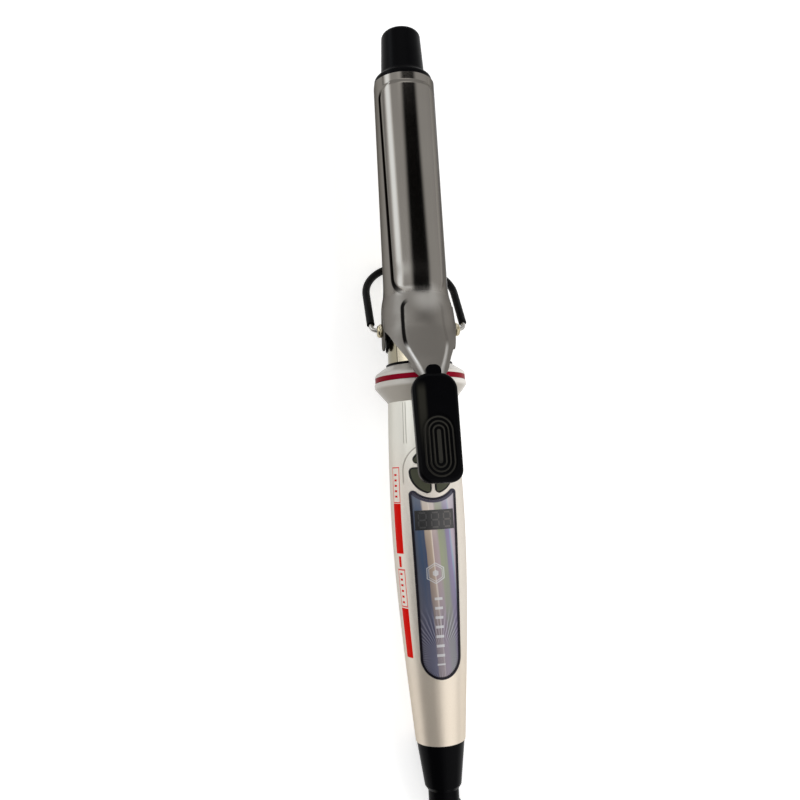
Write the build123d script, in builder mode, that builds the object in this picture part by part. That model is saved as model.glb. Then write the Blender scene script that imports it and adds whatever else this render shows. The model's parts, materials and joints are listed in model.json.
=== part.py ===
"""A clip curling iron with a 28 mm barrel, resting on its wire stand.

Every piece of the iron is built along the iron's own axis: X runs along the barrel to the tip,
Z points out of the front with the clamp and the buttons, and X = 0 is the hinge. RESTING then
tips the whole iron back onto its stand and its handle. The cord, its hank and the plug are built
where they lie on the table. All sizes are in millimetres.
"""

from build123d import *
from math import asin, atan2, cos, degrees, radians, sin, sqrt, tan
import os

# ---------------------------------------------------------------- driving dimensions
running_gap = 0.05  # radial play of a shaft in its bore
seat_gap = 0.1  # play round a piece that is pushed into another

barrel_radius = 14.0
barrel_wall = 1.2
barrel_front = 122.5  # hinge to the front end of the barrel
barrel_root = 28.0  # hinge to the rear end of the barrel, inside the collar
bare_barrel = 15.2  # hinge to the black ring at the barrel's base

tip_flange_radius = 14.2
tip_flange_length = 3.0
tip_shoulder_length = 1.7
tip_root_radius = 10.7
tip_end_radius = 9.6
tip_length = 28.5
tip_spigot_length = 10.0

ring_lip_radius = 15.0
ring_rear = 30.0

collar_face = 16.4  # hinge to the inner edge of the collar's front face
collar_front = 19.2
collar_rim_radius = 20.2
accent_front = 21.2
accent_width = 2.2
accent_depth = 1.0
collar_brim_radius = 20.5
collar_brim_rear = 25.6
collar_rear = 32.4

handle_front_radius = 14.9
handle_belly = 76.0  # hinge to the fullest part of the handle
handle_belly_radius = 15.9
handle_rear = 168.3
handle_rear_radius = 10.15
handle_rear_slope = 0.09
handle_wall = 1.8

cap_front_radius = 9.8
cap_rear_radius = 7.4
cap_length = 16.3
cap_chamfer = 1.3
cap_wall = 1.6
cap_spigot_length = 9.0

neck_radius = 6.15
neck_length = 6.5
swivel_shaft_radius = 4.2
swivel_flange_radius = 5.6
swivel_flange_thickness = 1.6

hinge_height = 3.0  # hinge axis above the barrel's axis
bracket_sheet = 0.8
bracket_width = 9.0
bracket_standoff = 0.7  # bracket ears stand this far off the barrel
ear_radius = 4.2
rivet_radius = 1.8
rivet_head_radius = 2.9
rivet_head_length = 1.5

clamp_sheet = 0.8
clamp_gap = 0.25  # between the closed clamp and the barrel
clamp_front = 122.2
clamp_edge_angle = 84.0  # the spoon's edge, from straight up
clamp_flare_radius = 16.6  # inside of the clamp where it straddles the hinge
clamp_flare_front = 21.0
clamp_flare_rear = 3.0
clamp_lip_length = 4.2
pillow_height = 0.5
pillow_half_width = 12.9
pillow_rear = 19.5
pillow_corner = 8.0
bead_height = 0.35
ear_front = 10.5
ear_rear = 7.6

tang_width = 8.0
tang_length = 34.0

spring_sheet = 0.4
spring_width = 6.0
spring_top = 23.1

lever_front = 23.6  # hinge to the lever's front end
lever_length = 44.0
lever_front_width = 19.2
lever_rear_width = 17.8
lever_thickness = 4.6
lever_slope = 5.3
lever_corner = 5.0
lever_rear_corner = 7.0
lever_rounding = 1.6
lever_level = 27.2  # underside of the lever's front end
lever_nose = 3.6
lever_nose_width = 6.5
lever_rivet_radius = 1.0
groove_width = 0.9
groove_depth = 0.5

stand_lean = 36.0  # the open stand, from the barrel's axis
wire_radius = 1.0
stand_half_width = 21.3
stand_leg = 24.8  # hinge to the start of the loop's round end
sleeve_radius = 1.8
sleeve_start = 4.0
wire_corner = 2.6

button_centre = 62.2  # hinge to the middle of the button group
button_ring_radius = 9.6
button_web = 1.3
button_proud = 0.5
button_gap = 0.25
button_travel = 0.6

panel_half_width = 10.3
panel_rear_half_width = 8.3
panel_rear = 143.6
panel_corner = 1.6
panel_depth = 1.0
bezel_width = 0.9
bezel_proud = 0.3
display_centre = 82.0
display_length = 7.9
display_width = 16.4

board_level = 6.6
board_thickness = 1.2
board_half_width = 7.4
board_front = 50.0
board_rear = 138.0

screw_radius = 1.1
screw_head_radius = 2.1
screw_head_height = 1.5
screw_places = (-43.5, -149.0)
boss_radius = 2.7

heater_front = 108.0
heater_rear = 22.0
heater_thickness = 1.6
heater_width = 9.0

relief_angle = 34.0  # the strain relief leaves sideways at this angle
relief_dip = 3.0
relief_length = 26.0
relief_root_radius = 5.0
relief_end_radius = 3.7
relief_ribs = 5

cord_radius = 3.0
hank_centre = -334.5
hank_run = 105.0  # between the centres of the hank's end folds
hank_fold_radius = 21.0  # middle of the bundle at a fold
hank_waist = 14.0
hank_height = 18.0
hank_lift = 0.9
tie_width = 9.0
tie_thickness = 0.8

plug_width = 32.0
plug_neck_width = 13.0
plug_height = 15.0
plug_length = 33.0
plug_face = -199.0
plug_side = 12.5
plug_level = 7.5
pin_radius = 2.4
pin_spacing = 19.0
pin_length = 19.0

# ---------------------------------------------------------------- worked out from the above
collar_seat = ring_lip_radius + seat_gap
clamp_inner = barrel_radius + clamp_gap
flare_outer = clamp_flare_radius + clamp_sheet
ear_inner = barrel_radius + bracket_standoff + bracket_sheet + 0.15
hinge_face = ear_inner + clamp_sheet
cap_rear = handle_rear + cap_length
tip_end = barrel_front + tip_length

pieces = []  # the iron's own pieces, in the iron's frame


def keep(piece, name):
    """Label a finished piece of the iron and keep it for the resting position."""
    piece.part.label = name
    pieces.append(piece.part)


# ---------------------------------------------------------------- handle outline
def handle_curve(offset=0.0):
    """The handle's side profile from the collar to the end cap, moved out by offset."""
    return Spline(
        (-collar_rear, handle_front_radius + offset),
        (-handle_belly, handle_belly_radius + offset),
        (-handle_rear, handle_rear_radius + offset),
        tangents=[(-1, 0.045), (-1, 0), (-1, -handle_rear_slope)],
    )


handle_profile = handle_curve()
handle_points = [handle_profile @ (step / 400) for step in range(401)]


def handle_radius(distance):
    """The handle's outer radius at a distance behind the hinge."""
    return min(handle_points, key=lambda point: abs(point.X + distance)).Y


# ---------------------------------------------------------------- barrel and tip
with BuildPart() as barrel_tube:
    with BuildSketch(Plane.YZ.offset(-barrel_root)):
        Circle(barrel_radius)
        Circle(barrel_radius - barrel_wall, mode=Mode.SUBTRACT)
    extrude(amount=barrel_front + barrel_root)
keep(barrel_tube, "barrel_tube")

with BuildPart() as cool_tip:
    spigot_radius = barrel_radius - barrel_wall - seat_gap
    with BuildSketch(Plane.XZ):
        with BuildLine():
            Polyline(
                (barrel_front - tip_spigot_length, 0),
                (barrel_front - tip_spigot_length, spigot_radius),
                (barrel_front, spigot_radius),
                (barrel_front, tip_flange_radius),
                (barrel_front + tip_flange_length, tip_flange_radius),
                (barrel_front + tip_flange_length + tip_shoulder_length, tip_root_radius),
                (tip_end, tip_end_radius),
                (tip_end, 0),
                close=True,
            )
        make_face()
        shoulder = vertices().filter_by_position(Axis.X, barrel_front + 1, tip_end + 1)
        fillet(shoulder.sort_by(Axis.Y)[-1], 2.2)
        fillet(vertices().filter_by_position(Axis.X, tip_end - 0.1, tip_end + 0.1).sort_by(Axis.Y)[-1], 3.0)
        root_x = barrel_front + tip_flange_length + tip_shoulder_length
        fillet(vertices().filter_by_position(Axis.X, root_x - 0.1, root_x + 0.1), 2.6)
    revolve(axis=Axis.X)
    with BuildSketch(Plane.YZ.offset(barrel_front - tip_spigot_length)):
        Circle(spigot_radius - 2.0)
    extrude(amount=tip_spigot_length - 2.0, mode=Mode.SUBTRACT)
keep(cool_tip, "cool_tip")

# ---------------------------------------------------------------- heater inside the barrel
shoe_radius = barrel_radius - barrel_wall - seat_gap
shoe_split = heater_thickness / 2 + 0.05
heater_middle = (heater_front + heater_rear) / 2
heater_length = heater_front - heater_rear


def heater_shoe(side):
    """Half of the round aluminium block that carries heat to the barrel, above or below the heater."""
    with BuildPart(mode=Mode.PRIVATE) as shoe:
        with BuildSketch(Plane.YZ.offset(heater_rear)):
            Circle(shoe_radius)
            with Locations((0, -side * shoe_radius)):
                Rectangle(2 * shoe_radius, 2 * shoe_radius + 2 * shoe_split, mode=Mode.SUBTRACT)
            with GridLocations(11.0, 0, 2, 1):
                with Locations((0, side * 5.6)):
                    Circle(2.6, mode=Mode.SUBTRACT)
        extrude(amount=heater_length)
    return shoe


upper_shoe = heater_shoe(1)
keep(upper_shoe, "heater_shoe_upper")
lower_shoe = heater_shoe(-1)
keep(lower_shoe, "heater_shoe_lower")

with BuildPart() as ceramic_heater:
    with Locations((heater_middle, 0, 0)):
        Box(heater_length - 6, heater_width, heater_thickness)
keep(ceramic_heater, "ceramic_heater")

with BuildPart() as shoe_springs:
    for side in (-1, 1):
        with Locations((heater_middle, side * (heater_width / 2 + 2.0), 0)):
            Box(heater_length - 20, 2.4, heater_thickness)
keep(shoe_springs, "shoe_springs")

with BuildPart() as heater_spacer:
    with BuildSketch(Plane.YZ.offset(heater_front + seat_gap)):
        Circle(shoe_radius)
        Circle(4.0, mode=Mode.SUBTRACT)
    extrude(amount=barrel_front - tip_spigot_length - heater_front - 2 * seat_gap)
keep(heater_spacer, "heater_spacer")

with BuildPart() as thermal_fuse:
    with BuildSketch(Plane.YZ.offset(heater_rear - 16)):
        with Locations((0, 5.5)):
            Circle(2.0)
    extrude(amount=11)
keep(thermal_fuse, "thermal_fuse")

with BuildPart() as thermistor:
    with BuildSketch(Plane.YZ.offset(heater_rear - 12)):
        with Locations((0, -5.5)):
            Circle(1.3)
    extrude(amount=12 - seat_gap)
keep(thermistor, "thermistor")

# ---------------------------------------------------------------- insulator ring and collar
with BuildPart() as base_ring:
    with BuildSketch(Plane.YZ.offset(-ring_rear)):
        Circle(ring_lip_radius)
        Circle(barrel_radius, mode=Mode.SUBTRACT)
    extrude(amount=ring_rear - bare_barrel)
    front_edge = edges().filter_by(GeomType.CIRCLE).group_by(Axis.X)[-1].sort_by(SortBy.RADIUS)[-1]
    fillet(front_edge, 0.4)
keep(base_ring, "base_ring")

with BuildPart() as collar_cap:
    with BuildSketch(Plane.XZ):
        with BuildLine():
            face = Line((-collar_face, collar_seat), (-collar_front, collar_rim_radius - 0.9))
            Line(face @ 1, (-collar_front - 0.9, collar_rim_radius))
            Line((-collar_front - 0.9, collar_rim_radius), (-accent_front, collar_rim_radius))
            Line((-accent_front, collar_rim_radius), (-accent_front, collar_seat))
            Line((-accent_front, collar_seat), face @ 0)
        make_face()
        fillet(vertices().sort_by(Axis.Y)[-2:].sort_by(Axis.X)[-1], 0.5)
    revolve(axis=Axis.X)
keep(collar_cap, "collar_cap")

accent_rear = accent_front + accent_width
accent_floor = collar_rim_radius - accent_depth
with BuildPart() as accent_ring:
    with BuildSketch(Plane.YZ.offset(-accent_rear)):
        Circle(collar_rim_radius - 0.05)
        Circle(accent_floor, mode=Mode.SUBTRACT)
    extrude(amount=accent_width)
keep(accent_ring, "accent_ring")

collar_sleeve = handle_front_radius - handle_wall - seat_gap
with BuildPart() as collar_base:
    with BuildSketch(Plane.XZ):
        with BuildLine():
            Polyline(
                (-accent_front, collar_seat),
                (-accent_front, accent_floor),
                (-accent_rear, accent_floor),
                (-accent_rear, collar_brim_radius),
                (-collar_brim_rear, collar_brim_radius),
                (-collar_rear, handle_front_radius),
                (-collar_rear, collar_sleeve),
                (-collar_rear - 7.5, collar_sleeve),
                (-collar_rear - 7.5, collar_sleeve - 1.6),
                (-ring_rear - seat_gap, collar_sleeve - 1.6),
                (-ring_rear - seat_gap, collar_seat),
                close=True,
            )
        make_face()
        fillet(vertices().filter_by_position(Axis.Y, collar_brim_radius - 0.1, collar_brim_radius + 0.1), 0.8)
    revolve(axis=Axis.X)
keep(collar_base, "collar_base")

# ---------------------------------------------------------------- handle shells
panel_rear_centre = panel_rear - panel_rear_half_width
button_floor = board_level + board_thickness + 2.4 + button_travel + 0.1


def handle_solid(offset):
    """The handle as one turned solid, its surface moved out by offset."""
    with BuildPart(mode=Mode.PRIVATE) as turned:
        with BuildSketch(Plane.XY):
            with BuildLine():
                top = handle_curve(offset)
                Polyline(top @ 1, (-handle_rear, 0), (-collar_rear, 0), top @ 0)
            make_face()
        revolve(axis=Axis.X)
    return turned.part


def panel_face(margin):
    """The panel's outline seen from the front, drawn margin inside its edge."""
    with BuildSketch(mode=Mode.PRIVATE) as outline:
        with Locations((-panel_rear_centre, 0)):
            Circle(panel_rear_half_width - margin)
        with Locations((-button_centre, 0)):
            Rectangle(1.0, 2 * (panel_half_width - margin))
        make_hull()
        with Locations((-button_centre, 0)):
            Circle(panel_arc_radius + margin, mode=Mode.SUBTRACT)
        front = outline.vertices().sort_by(Axis.X)[-2:]
        fillet(front, panel_corner - margin)
    return outline.sketch


def button_face(name, margin):
    """One petal of the round button group, drawn margin inside its edge."""
    with BuildSketch(mode=Mode.PRIVATE) as petal:
        with Locations((-button_centre, 0)):
            Circle(button_ring_radius - margin)
        if name == "power":
            with Locations((-button_centre + button_split + margin + 50, 0)):
                Rectangle(100, 100, mode=Mode.INTERSECT)
        else:
            side = {"minus": 1, "plus": -1}[name]
            behind = -button_centre + button_split - button_web - margin - 50
            middle = (behind, side * (button_web / 2 + margin + 50))
            with Locations(middle):
                Rectangle(100, 100, mode=Mode.INTERSECT)
        fillet(petal.vertices(), 1.9 - margin)
    return petal.sketch


panel_arc_radius = button_ring_radius + 1.4
button_split = 3.0
handle_hollow = handle_solid(-handle_wall)
panel_floor = handle_solid(-panel_depth)

with BuildPart() as panel_pocket:
    with BuildSketch(Plane.XY):
        add(panel_face(0))
    extrude(amount=40)
    add(handle_solid(2.0), mode=Mode.INTERSECT)
    add(panel_floor, mode=Mode.SUBTRACT)

with BuildPart() as handle_front_shell:
    add(handle_solid(0))
    add(handle_hollow, mode=Mode.SUBTRACT)
    for place in screw_places:
        with BuildSketch(Plane.XY):
            with Locations((place, 0)):
                Circle(boss_radius)
        extrude(amount=handle_radius(-place) - handle_wall / 2)
    split(bisect_by=Plane.XY, keep=Keep.TOP)
    for place in screw_places:
        with BuildSketch(Plane.XY):
            with Locations((place, 0)):
                Circle(screw_radius)
        extrude(amount=7.0, mode=Mode.SUBTRACT)
    for name in ("power", "minus", "plus"):
        with BuildSketch(Plane.XY):
            add(button_face(name, 0))
        extrude(amount=40, mode=Mode.SUBTRACT)
    with BuildSketch(Plane.XY):
        with Locations((-display_centre, 0)):
            Rectangle(display_length - 1.6, display_width - 3.0)
    extrude(amount=40, mode=Mode.SUBTRACT)
    add(panel_pocket, mode=Mode.SUBTRACT)
keep(handle_front_shell, "handle_front_shell")

with BuildPart() as handle_back_shell:
    add(handle_solid(0))
    add(handle_hollow, mode=Mode.SUBTRACT)
    for place in screw_places:
        with BuildSketch(Plane.XY):
            with Locations((place, 0)):
                Circle(boss_radius)
        extrude(amount=-(handle_radius(-place) - handle_wall / 2))
    split(bisect_by=Plane.XY, keep=Keep.BOTTOM)
    for place in screw_places:
        seat = handle_radius(-place) - screw_head_height - 0.9
        with BuildSketch(Plane.XY):
            with Locations((place, 0)):
                Circle(screw_radius + seat_gap)
        extrude(amount=-40, mode=Mode.SUBTRACT)
        with BuildSketch(Plane.XY.offset(-seat)):
            with Locations((place, 0)):
                Circle(screw_head_radius + seat_gap)
        extrude(amount=-20, mode=Mode.SUBTRACT)
keep(handle_back_shell, "handle_back_shell")

with BuildPart() as shell_screws:
    for place in screw_places:
        seat = handle_radius(-place) - screw_head_height - 0.9
        with BuildSketch(Plane.XY.offset(-seat)):
            with Locations((place, 0)):
                Circle(screw_head_radius)
        extrude(amount=-screw_head_height)
        with BuildSketch(Plane.XY.offset(-seat)):
            with Locations((place, 0)):
                Circle(screw_radius)
        extrude(amount=seat + 6.0)
        with BuildSketch(Plane.XY.offset(-seat - screw_head_height)):
            with Locations((place, 0)):
                Rectangle(2.4, 0.5)
                Rectangle(0.5, 2.4)
        extrude(amount=0.8, mode=Mode.SUBTRACT)
keep(shell_screws, "shell_screws")

# ---------------------------------------------------------------- panel, display and buttons
with BuildPart() as panel_bezel:
    with BuildSketch(Plane.XY):
        add(panel_face(seat_gap / 2))
        add(panel_face(bezel_width), mode=Mode.SUBTRACT)
    extrude(amount=40)
    add(handle_solid(bezel_proud), mode=Mode.INTERSECT)
    add(panel_floor, mode=Mode.SUBTRACT)
keep(panel_bezel, "panel_bezel")

with BuildPart() as panel_film:
    with BuildSketch(Plane.XY):
        add(panel_face(bezel_width + seat_gap / 2))
        with Locations((-display_centre, 0)):
            Rectangle(display_length, display_width, mode=Mode.SUBTRACT)
    extrude(amount=40)
    add(handle_solid(-0.1), mode=Mode.INTERSECT)
    add(panel_floor, mode=Mode.SUBTRACT)
keep(panel_film, "panel_film")

with BuildPart() as display_window:
    with BuildSketch(Plane.XY):
        with Locations((-display_centre, 0)):
            Rectangle(display_length - seat_gap, display_width - seat_gap)
    extrude(amount=40)
    add(handle_solid(-0.1), mode=Mode.INTERSECT)
    add(panel_floor, mode=Mode.SUBTRACT)
keep(display_window, "display_window")

board_top = board_level + board_thickness
with BuildPart() as control_board:
    with Locations((-(board_front + board_rear) / 2, 0, board_level + board_thickness / 2)):
        Box(board_rear - board_front, 2 * board_half_width, board_thickness)
    with Locations((-118, 0, board_top + 1.0), (-106, 3.0, board_top + 1.0), (-106, -3.5, board_top + 1.0)):
        Box(8, 4, 2.0)
keep(control_board, "control_board")

with BuildPart() as lcd_module:
    with Locations((-display_centre, 0, board_top)):
        Box(display_length + 1.5, 2 * board_half_width, 3.2, align=(Align.CENTER, Align.CENTER, Align.MIN))
keep(lcd_module, "lcd_module")

mat_thickness = 1.4
with BuildPart() as keypad_mat:
    with BuildSketch(Plane.XY.offset(board_top)):
        with Locations((-button_centre, 0)):
            RectangleRounded(19.0, 2 * board_half_width, 3.0)
    extrude(amount=mat_thickness)
    with BuildSketch(Plane.XY.offset(board_top + mat_thickness)):
        with Locations((-button_centre + 6, 0), (-button_centre - 3.4, 4.2), (-button_centre - 3.4, -4.2)):
            Circle(2.2)
    extrude(amount=1.0)
keep(keypad_mat, "keypad_mat")


def petal_button(name):
    """A push button shaped as one petal, its top following the handle."""
    with BuildPart(mode=Mode.PRIVATE) as button:
        with BuildSketch(Plane.XY.offset(button_floor)):
            add(button_face(name, button_gap))
        extrude(amount=20)
        add(handle_solid(button_proud), mode=Mode.INTERSECT)
    return button


power_button = petal_button("power")
keep(power_button, "power_button")
minus_button = petal_button("minus")
keep(minus_button, "minus_button")
plus_button = petal_button("plus")
keep(plus_button, "plus_button")

# ---------------------------------------------------------------- end cap and swivel
spigot_outer = handle_rear_radius - handle_wall - seat_gap
spigot_inner = spigot_outer - cap_wall
bore_front = handle_rear - cap_spigot_length + 4.0
with BuildPart() as end_cap:
    with BuildSketch(Plane.XZ):
        with BuildLine():
            Polyline(
                (-handle_rear + cap_spigot_length, spigot_outer),
                (-handle_rear, spigot_outer),
                (-handle_rear, cap_front_radius),
                (-cap_rear, cap_rear_radius),
                (-cap_rear - cap_chamfer, cap_rear_radius - 0.9),
                (-cap_rear - cap_chamfer, swivel_shaft_radius + running_gap),
                (-bore_front, swivel_shaft_radius + running_gap),
                (-bore_front, spigot_inner),
                (-handle_rear + cap_spigot_length, spigot_inner),
                close=True,
            )
        make_face()
    revolve(axis=Axis.X)
keep(end_cap, "end_cap")

neck_front = cap_rear + cap_chamfer + 0.15
ball_centre = neck_front + neck_length - 2.6
flange_rear = bore_front - 0.15
pin_seat = 6.0
with BuildPart() as swivel_sleeve:
    with BuildSketch(Plane.XZ):
        with BuildLine():
            Polyline(
                (-flange_rear + swivel_flange_thickness, 0),
                (-flange_rear + swivel_flange_thickness, swivel_flange_radius),
                (-flange_rear, swivel_flange_radius),
                (-flange_rear, swivel_shaft_radius),
                (-neck_front, swivel_shaft_radius),
                (-neck_front, neck_radius),
                (-ball_centre, neck_radius),
            )
            RadiusArc((-ball_centre, neck_radius), (-ball_centre - neck_radius, 0), -neck_radius)
            Line((-ball_centre - neck_radius, 0), (-flange_rear + swivel_flange_thickness, 0))
        make_face()
    revolve(axis=Axis.X)
    with BuildSketch(Plane.YZ.offset(-flange_rear + swivel_flange_thickness - pin_seat)):
        Circle(1.5)
    extrude(amount=pin_seat, mode=Mode.SUBTRACT)
keep(swivel_sleeve, "swivel_sleeve")

contact_rear = handle_rear - cap_spigot_length - 0.5
with BuildPart() as contact_block:
    with BuildSketch(Plane.YZ.offset(-contact_rear)):
        Circle(spigot_outer - 0.3)
        Circle(1.5 + running_gap, mode=Mode.SUBTRACT)
    extrude(amount=4.5)
keep(contact_block, "contact_block")

with BuildPart() as contact_pin:
    with BuildSketch(Plane.YZ.offset(-flange_rear + swivel_flange_thickness - pin_seat)):
        Circle(1.5)
    extrude(amount=pin_seat + 6.0)
keep(contact_pin, "contact_pin")

# ---------------------------------------------------------------- hinge
strap_inner = barrel_radius + seat_gap / 2
ear_face = barrel_radius + bracket_standoff
ear_middle = ear_face + bracket_sheet / 2
ear_top = hinge_height + 1.6
joggle = -3.2  # height at which the bracket's ears step out from its strap
shoulder_front = 3.2  # the strap's shoulder behind the ears, from the hinge
shoulder_rear = 9.0
shoulder_top = 7.4

with BuildPart() as bracket_ears:
    with BuildSketch(Plane.YZ.offset(-bracket_width / 2)):
        with BuildLine():
            strap_middle = strap_inner + bracket_sheet / 2
            root_height = joggle - 0.6
            for hand in (-1, 1):
                Polyline(
                    (hand * sqrt(strap_middle**2 - root_height**2), root_height),
                    (hand * ear_middle, joggle + 0.6),
                    (hand * ear_middle, ear_top),
                )
        trace(line_width=bracket_sheet)
    extrude(amount=bracket_width)
    with BuildSketch(Plane.XZ):
        with Locations((0, hinge_height - 20)):
            Rectangle(bracket_width, 40)
        with Locations((0, hinge_height)):
            Rectangle(bracket_width - 5.4, 2 * (ear_top + bracket_sheet / 2 - hinge_height))
        make_hull()
    extrude(amount=30, both=True, mode=Mode.INTERSECT)

with BuildPart() as hinge_bracket:
    with BuildSketch(Plane.YZ.offset(-shoulder_rear)):
        Circle(strap_inner + bracket_sheet)
        Circle(strap_inner, mode=Mode.SUBTRACT)
    extrude(amount=shoulder_rear + bracket_width / 2)
    with BuildSketch(Plane.XZ):
        with BuildLine():
            Polyline(
                (-shoulder_rear, -30),
                (bracket_width / 2, -30),
                (bracket_width / 2, joggle),
                (-shoulder_front, joggle),
                (-shoulder_front, shoulder_top),
                (-shoulder_rear, -1.0),
                close=True,
            )
        make_face()
    extrude(amount=30, both=True, mode=Mode.INTERSECT)
    add(bracket_ears.part)
    with BuildSketch(Plane.XZ):
        with Locations((0, hinge_height)):
            Circle(rivet_radius)
    extrude(amount=30, both=True, mode=Mode.SUBTRACT)
keep(hinge_bracket, "hinge_bracket")

with BuildPart() as hinge_rivets:
    for hand in (-1, 1):
        inner_head = ear_face - 0.5
        with BuildSketch(Plane.XZ.offset(-hand * inner_head)):
            with Locations((0, hinge_height)):
                Circle(rivet_head_radius - 0.3)
        extrude(amount=-hand * 0.45)
        with BuildSketch(Plane.XZ.offset(-hand * inner_head)):
            with Locations((0, hinge_height)):
                Circle(rivet_radius)
        extrude(amount=-hand * (hinge_face + 0.2 - inner_head))
        with BuildSketch(Plane.XZ.offset(-hand * (hinge_face + 0.1))):
            with Locations((0, hinge_height)):
                Circle(rivet_head_radius)
        extrude(amount=-hand * rivet_head_length)
    fillet(edges().filter_by(GeomType.CIRCLE).group_by(SortBy.RADIUS)[-1], rivet_head_length / 2 - 0.05)
    with BuildSketch(Plane.XZ):
        with Locations((0, hinge_height)):
            Circle(wire_radius + running_gap)
    extrude(amount=30, both=True, mode=Mode.SUBTRACT)
keep(hinge_rivets, "hinge_rivets")

# ---------------------------------------------------------------- clamp
edge_height = clamp_inner * cos(radians(clamp_edge_angle))
flare_edge = 5.3  # height of the plate's edge where it straddles the hinge
pillow_front = clamp_front - clamp_lip_length
flare_width = sqrt(flare_outer**2 - flare_edge**2)
neck_stations = (  # distance behind the hinge, top of the plate, half width, radius across
    (1.0, flare_outer, flare_width, flare_outer),
    (8.0, 21.4, 12.6, 15.4),
    (15.7, 25.7, 8.4, 19.0),
    (21.6, 27.5, 5.6, 30.0),
)
bead_stations = (
    (1.0, flare_outer, 9.6, flare_outer),
    (8.0, 21.4, 8.6, 15.4),
    (15.7, 25.7, 5.9, 19.0),
    (21.6, 27.5, 3.9, 30.0),
)


def spoon_ring(inner, outer):
    """The clamp's turned form between two offsets from its inside, lip, waist and flare included."""
    with BuildPart(mode=Mode.PRIVATE) as ring:
        with BuildSketch(Plane.XY):
            with BuildLine():
                near = spoon_curve(inner)
                far = spoon_curve(outer)
                add(near)
                add(far)
                Line(near @ 0, far @ 0)
                Line(near @ 1, far @ 1)
            make_face()
        revolve(axis=Axis.X)
    return ring.part


def spoon_curve(offset):
    """The clamp's side profile from the free end to the hinge, offset outwards from its inside."""
    with BuildLine(mode=Mode.PRIVATE) as side:
        lip = Line((clamp_front, clamp_inner + offset), (clamp_flare_front, clamp_inner + offset))
        flare = Spline(
            lip @ 1,
            (clamp_flare_rear, clamp_flare_radius + offset),
            tangents=[(-1, 0), (-1, 0)],
        )
        Line(flare @ 1, (-1.0, clamp_flare_radius + offset))
    return side.wires()[0]


def neck_strip(station, inner, outer):
    """A curved strip across the neck, between two offsets from the plate's top."""
    distance, top, half_width, radius = station
    half_angle = asin(half_width / radius)
    with BuildSketch(Plane.YZ.offset(-distance), mode=Mode.PRIVATE) as strip:
        with BuildLine():
            arcs = []
            for offset in (inner, outer):
                side = (radius + offset) * sin(half_angle)
                edge = top - radius + (radius + offset) * cos(half_angle)
                arcs.append(ThreePointArc((-side, edge), (0, top + offset), (side, edge)))
            Line(arcs[0] @ 0, arcs[1] @ 0)
            Line(arcs[0] @ 1, arcs[1] @ 1)
        make_face()
    return strip.sketch


slope_sine = sin(radians(lever_slope))
slope_cosine = cos(radians(lever_slope))
lever_plane = Plane(
    origin=(-lever_front, 0, lever_level),
    x_dir=(-slope_cosine, 0, slope_sine),
    z_dir=(slope_sine, 0, slope_cosine),
)
rivet_steps = (9.0, 15.5)  # lever rivets, from the lever's front end
tang_start = (-neck_stations[-1][0], neck_stations[-1][1] - clamp_sheet / 2)
tang_bend = (-lever_front - 1.0, tang_start[1] + 1.3)
tang_end = (tang_bend[0] - tang_length * slope_cosine, tang_bend[1] + tang_length * slope_sine)

with BuildPart() as tang:
    with BuildSketch(Plane.XZ):
        with BuildLine():
            Polyline(tang_start, tang_bend, tang_end)
        trace(line_width=clamp_sheet)
    extrude(amount=tang_width / 2, both=True)
    for step in rivet_steps:
        with BuildSketch(lever_plane.offset(-2.0)):
            with Locations((step, 0)):
                Circle(lever_rivet_radius)
        extrude(amount=lever_thickness + 2.0, mode=Mode.SUBTRACT)
tang_blade = tang.part

with BuildPart() as pillow:
    with BuildSketch(Plane.XY):
        with Locations(((pillow_front + pillow_rear) / 2, 0)):
            RectangleRounded(pillow_front - pillow_rear, 2 * pillow_half_width, pillow_corner)
    extrude(amount=40)
    add(spoon_ring(clamp_sheet / 2, clamp_sheet + pillow_height), mode=Mode.INTERSECT)

with BuildPart() as clamp_plate:
    add(spoon_ring(0, clamp_sheet))
    with BuildSketch(Plane.XZ):
        with BuildLine():
            Polyline(
                (clamp_front, 40),
                (clamp_front, edge_height),
                (ear_front + 1.5, edge_height),
                (1.0, flare_edge),
                (-1.0, flare_edge),
                (-1.0, 40),
                close=True,
            )
        make_face()
        fillet(vertices().sort_by(Axis.X)[-2:].sort_by(Axis.Y)[0], 4.0)
    extrude(amount=30, both=True, mode=Mode.INTERSECT)
    add(pillow.part)
    loft(sections=[neck_strip(station, -clamp_sheet, 0) for station in neck_stations])
    loft(sections=[neck_strip(station, -clamp_sheet / 2, bead_height) for station in bead_stations])
    add(tang_blade)
    for hand in (-1, 1):
        with BuildSketch(Plane.XZ.offset(-hand * ear_inner)):
            with Locations((0, hinge_height)):
                Circle(ear_radius)
            with Locations((-ear_rear + 3.4, hinge_height - 0.8)):
                Circle(3.4)
            with Locations((ear_front - 1.0, edge_height + 1.6)):
                Circle(1.0)
            with Locations((0, flare_edge)):
                Rectangle(3.0, 1.0)
            make_hull()
        extrude(amount=-hand * clamp_sheet)
    with BuildSketch(Plane.XZ):
        with Locations((0, hinge_height)):
            Circle(rivet_radius + running_gap)
    extrude(amount=30, both=True, mode=Mode.SUBTRACT)
keep(clamp_plate, "clamp_plate")

# ---------------------------------------------------------------- thumb lever
groove_centre = 29.4  # middle of the grip grooves, from the lever's front end
groove_ovals = ((13.4, 25.6), (10.0, 22.0), (6.8, 18.5), (3.4, 14.6))  # width, length

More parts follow.
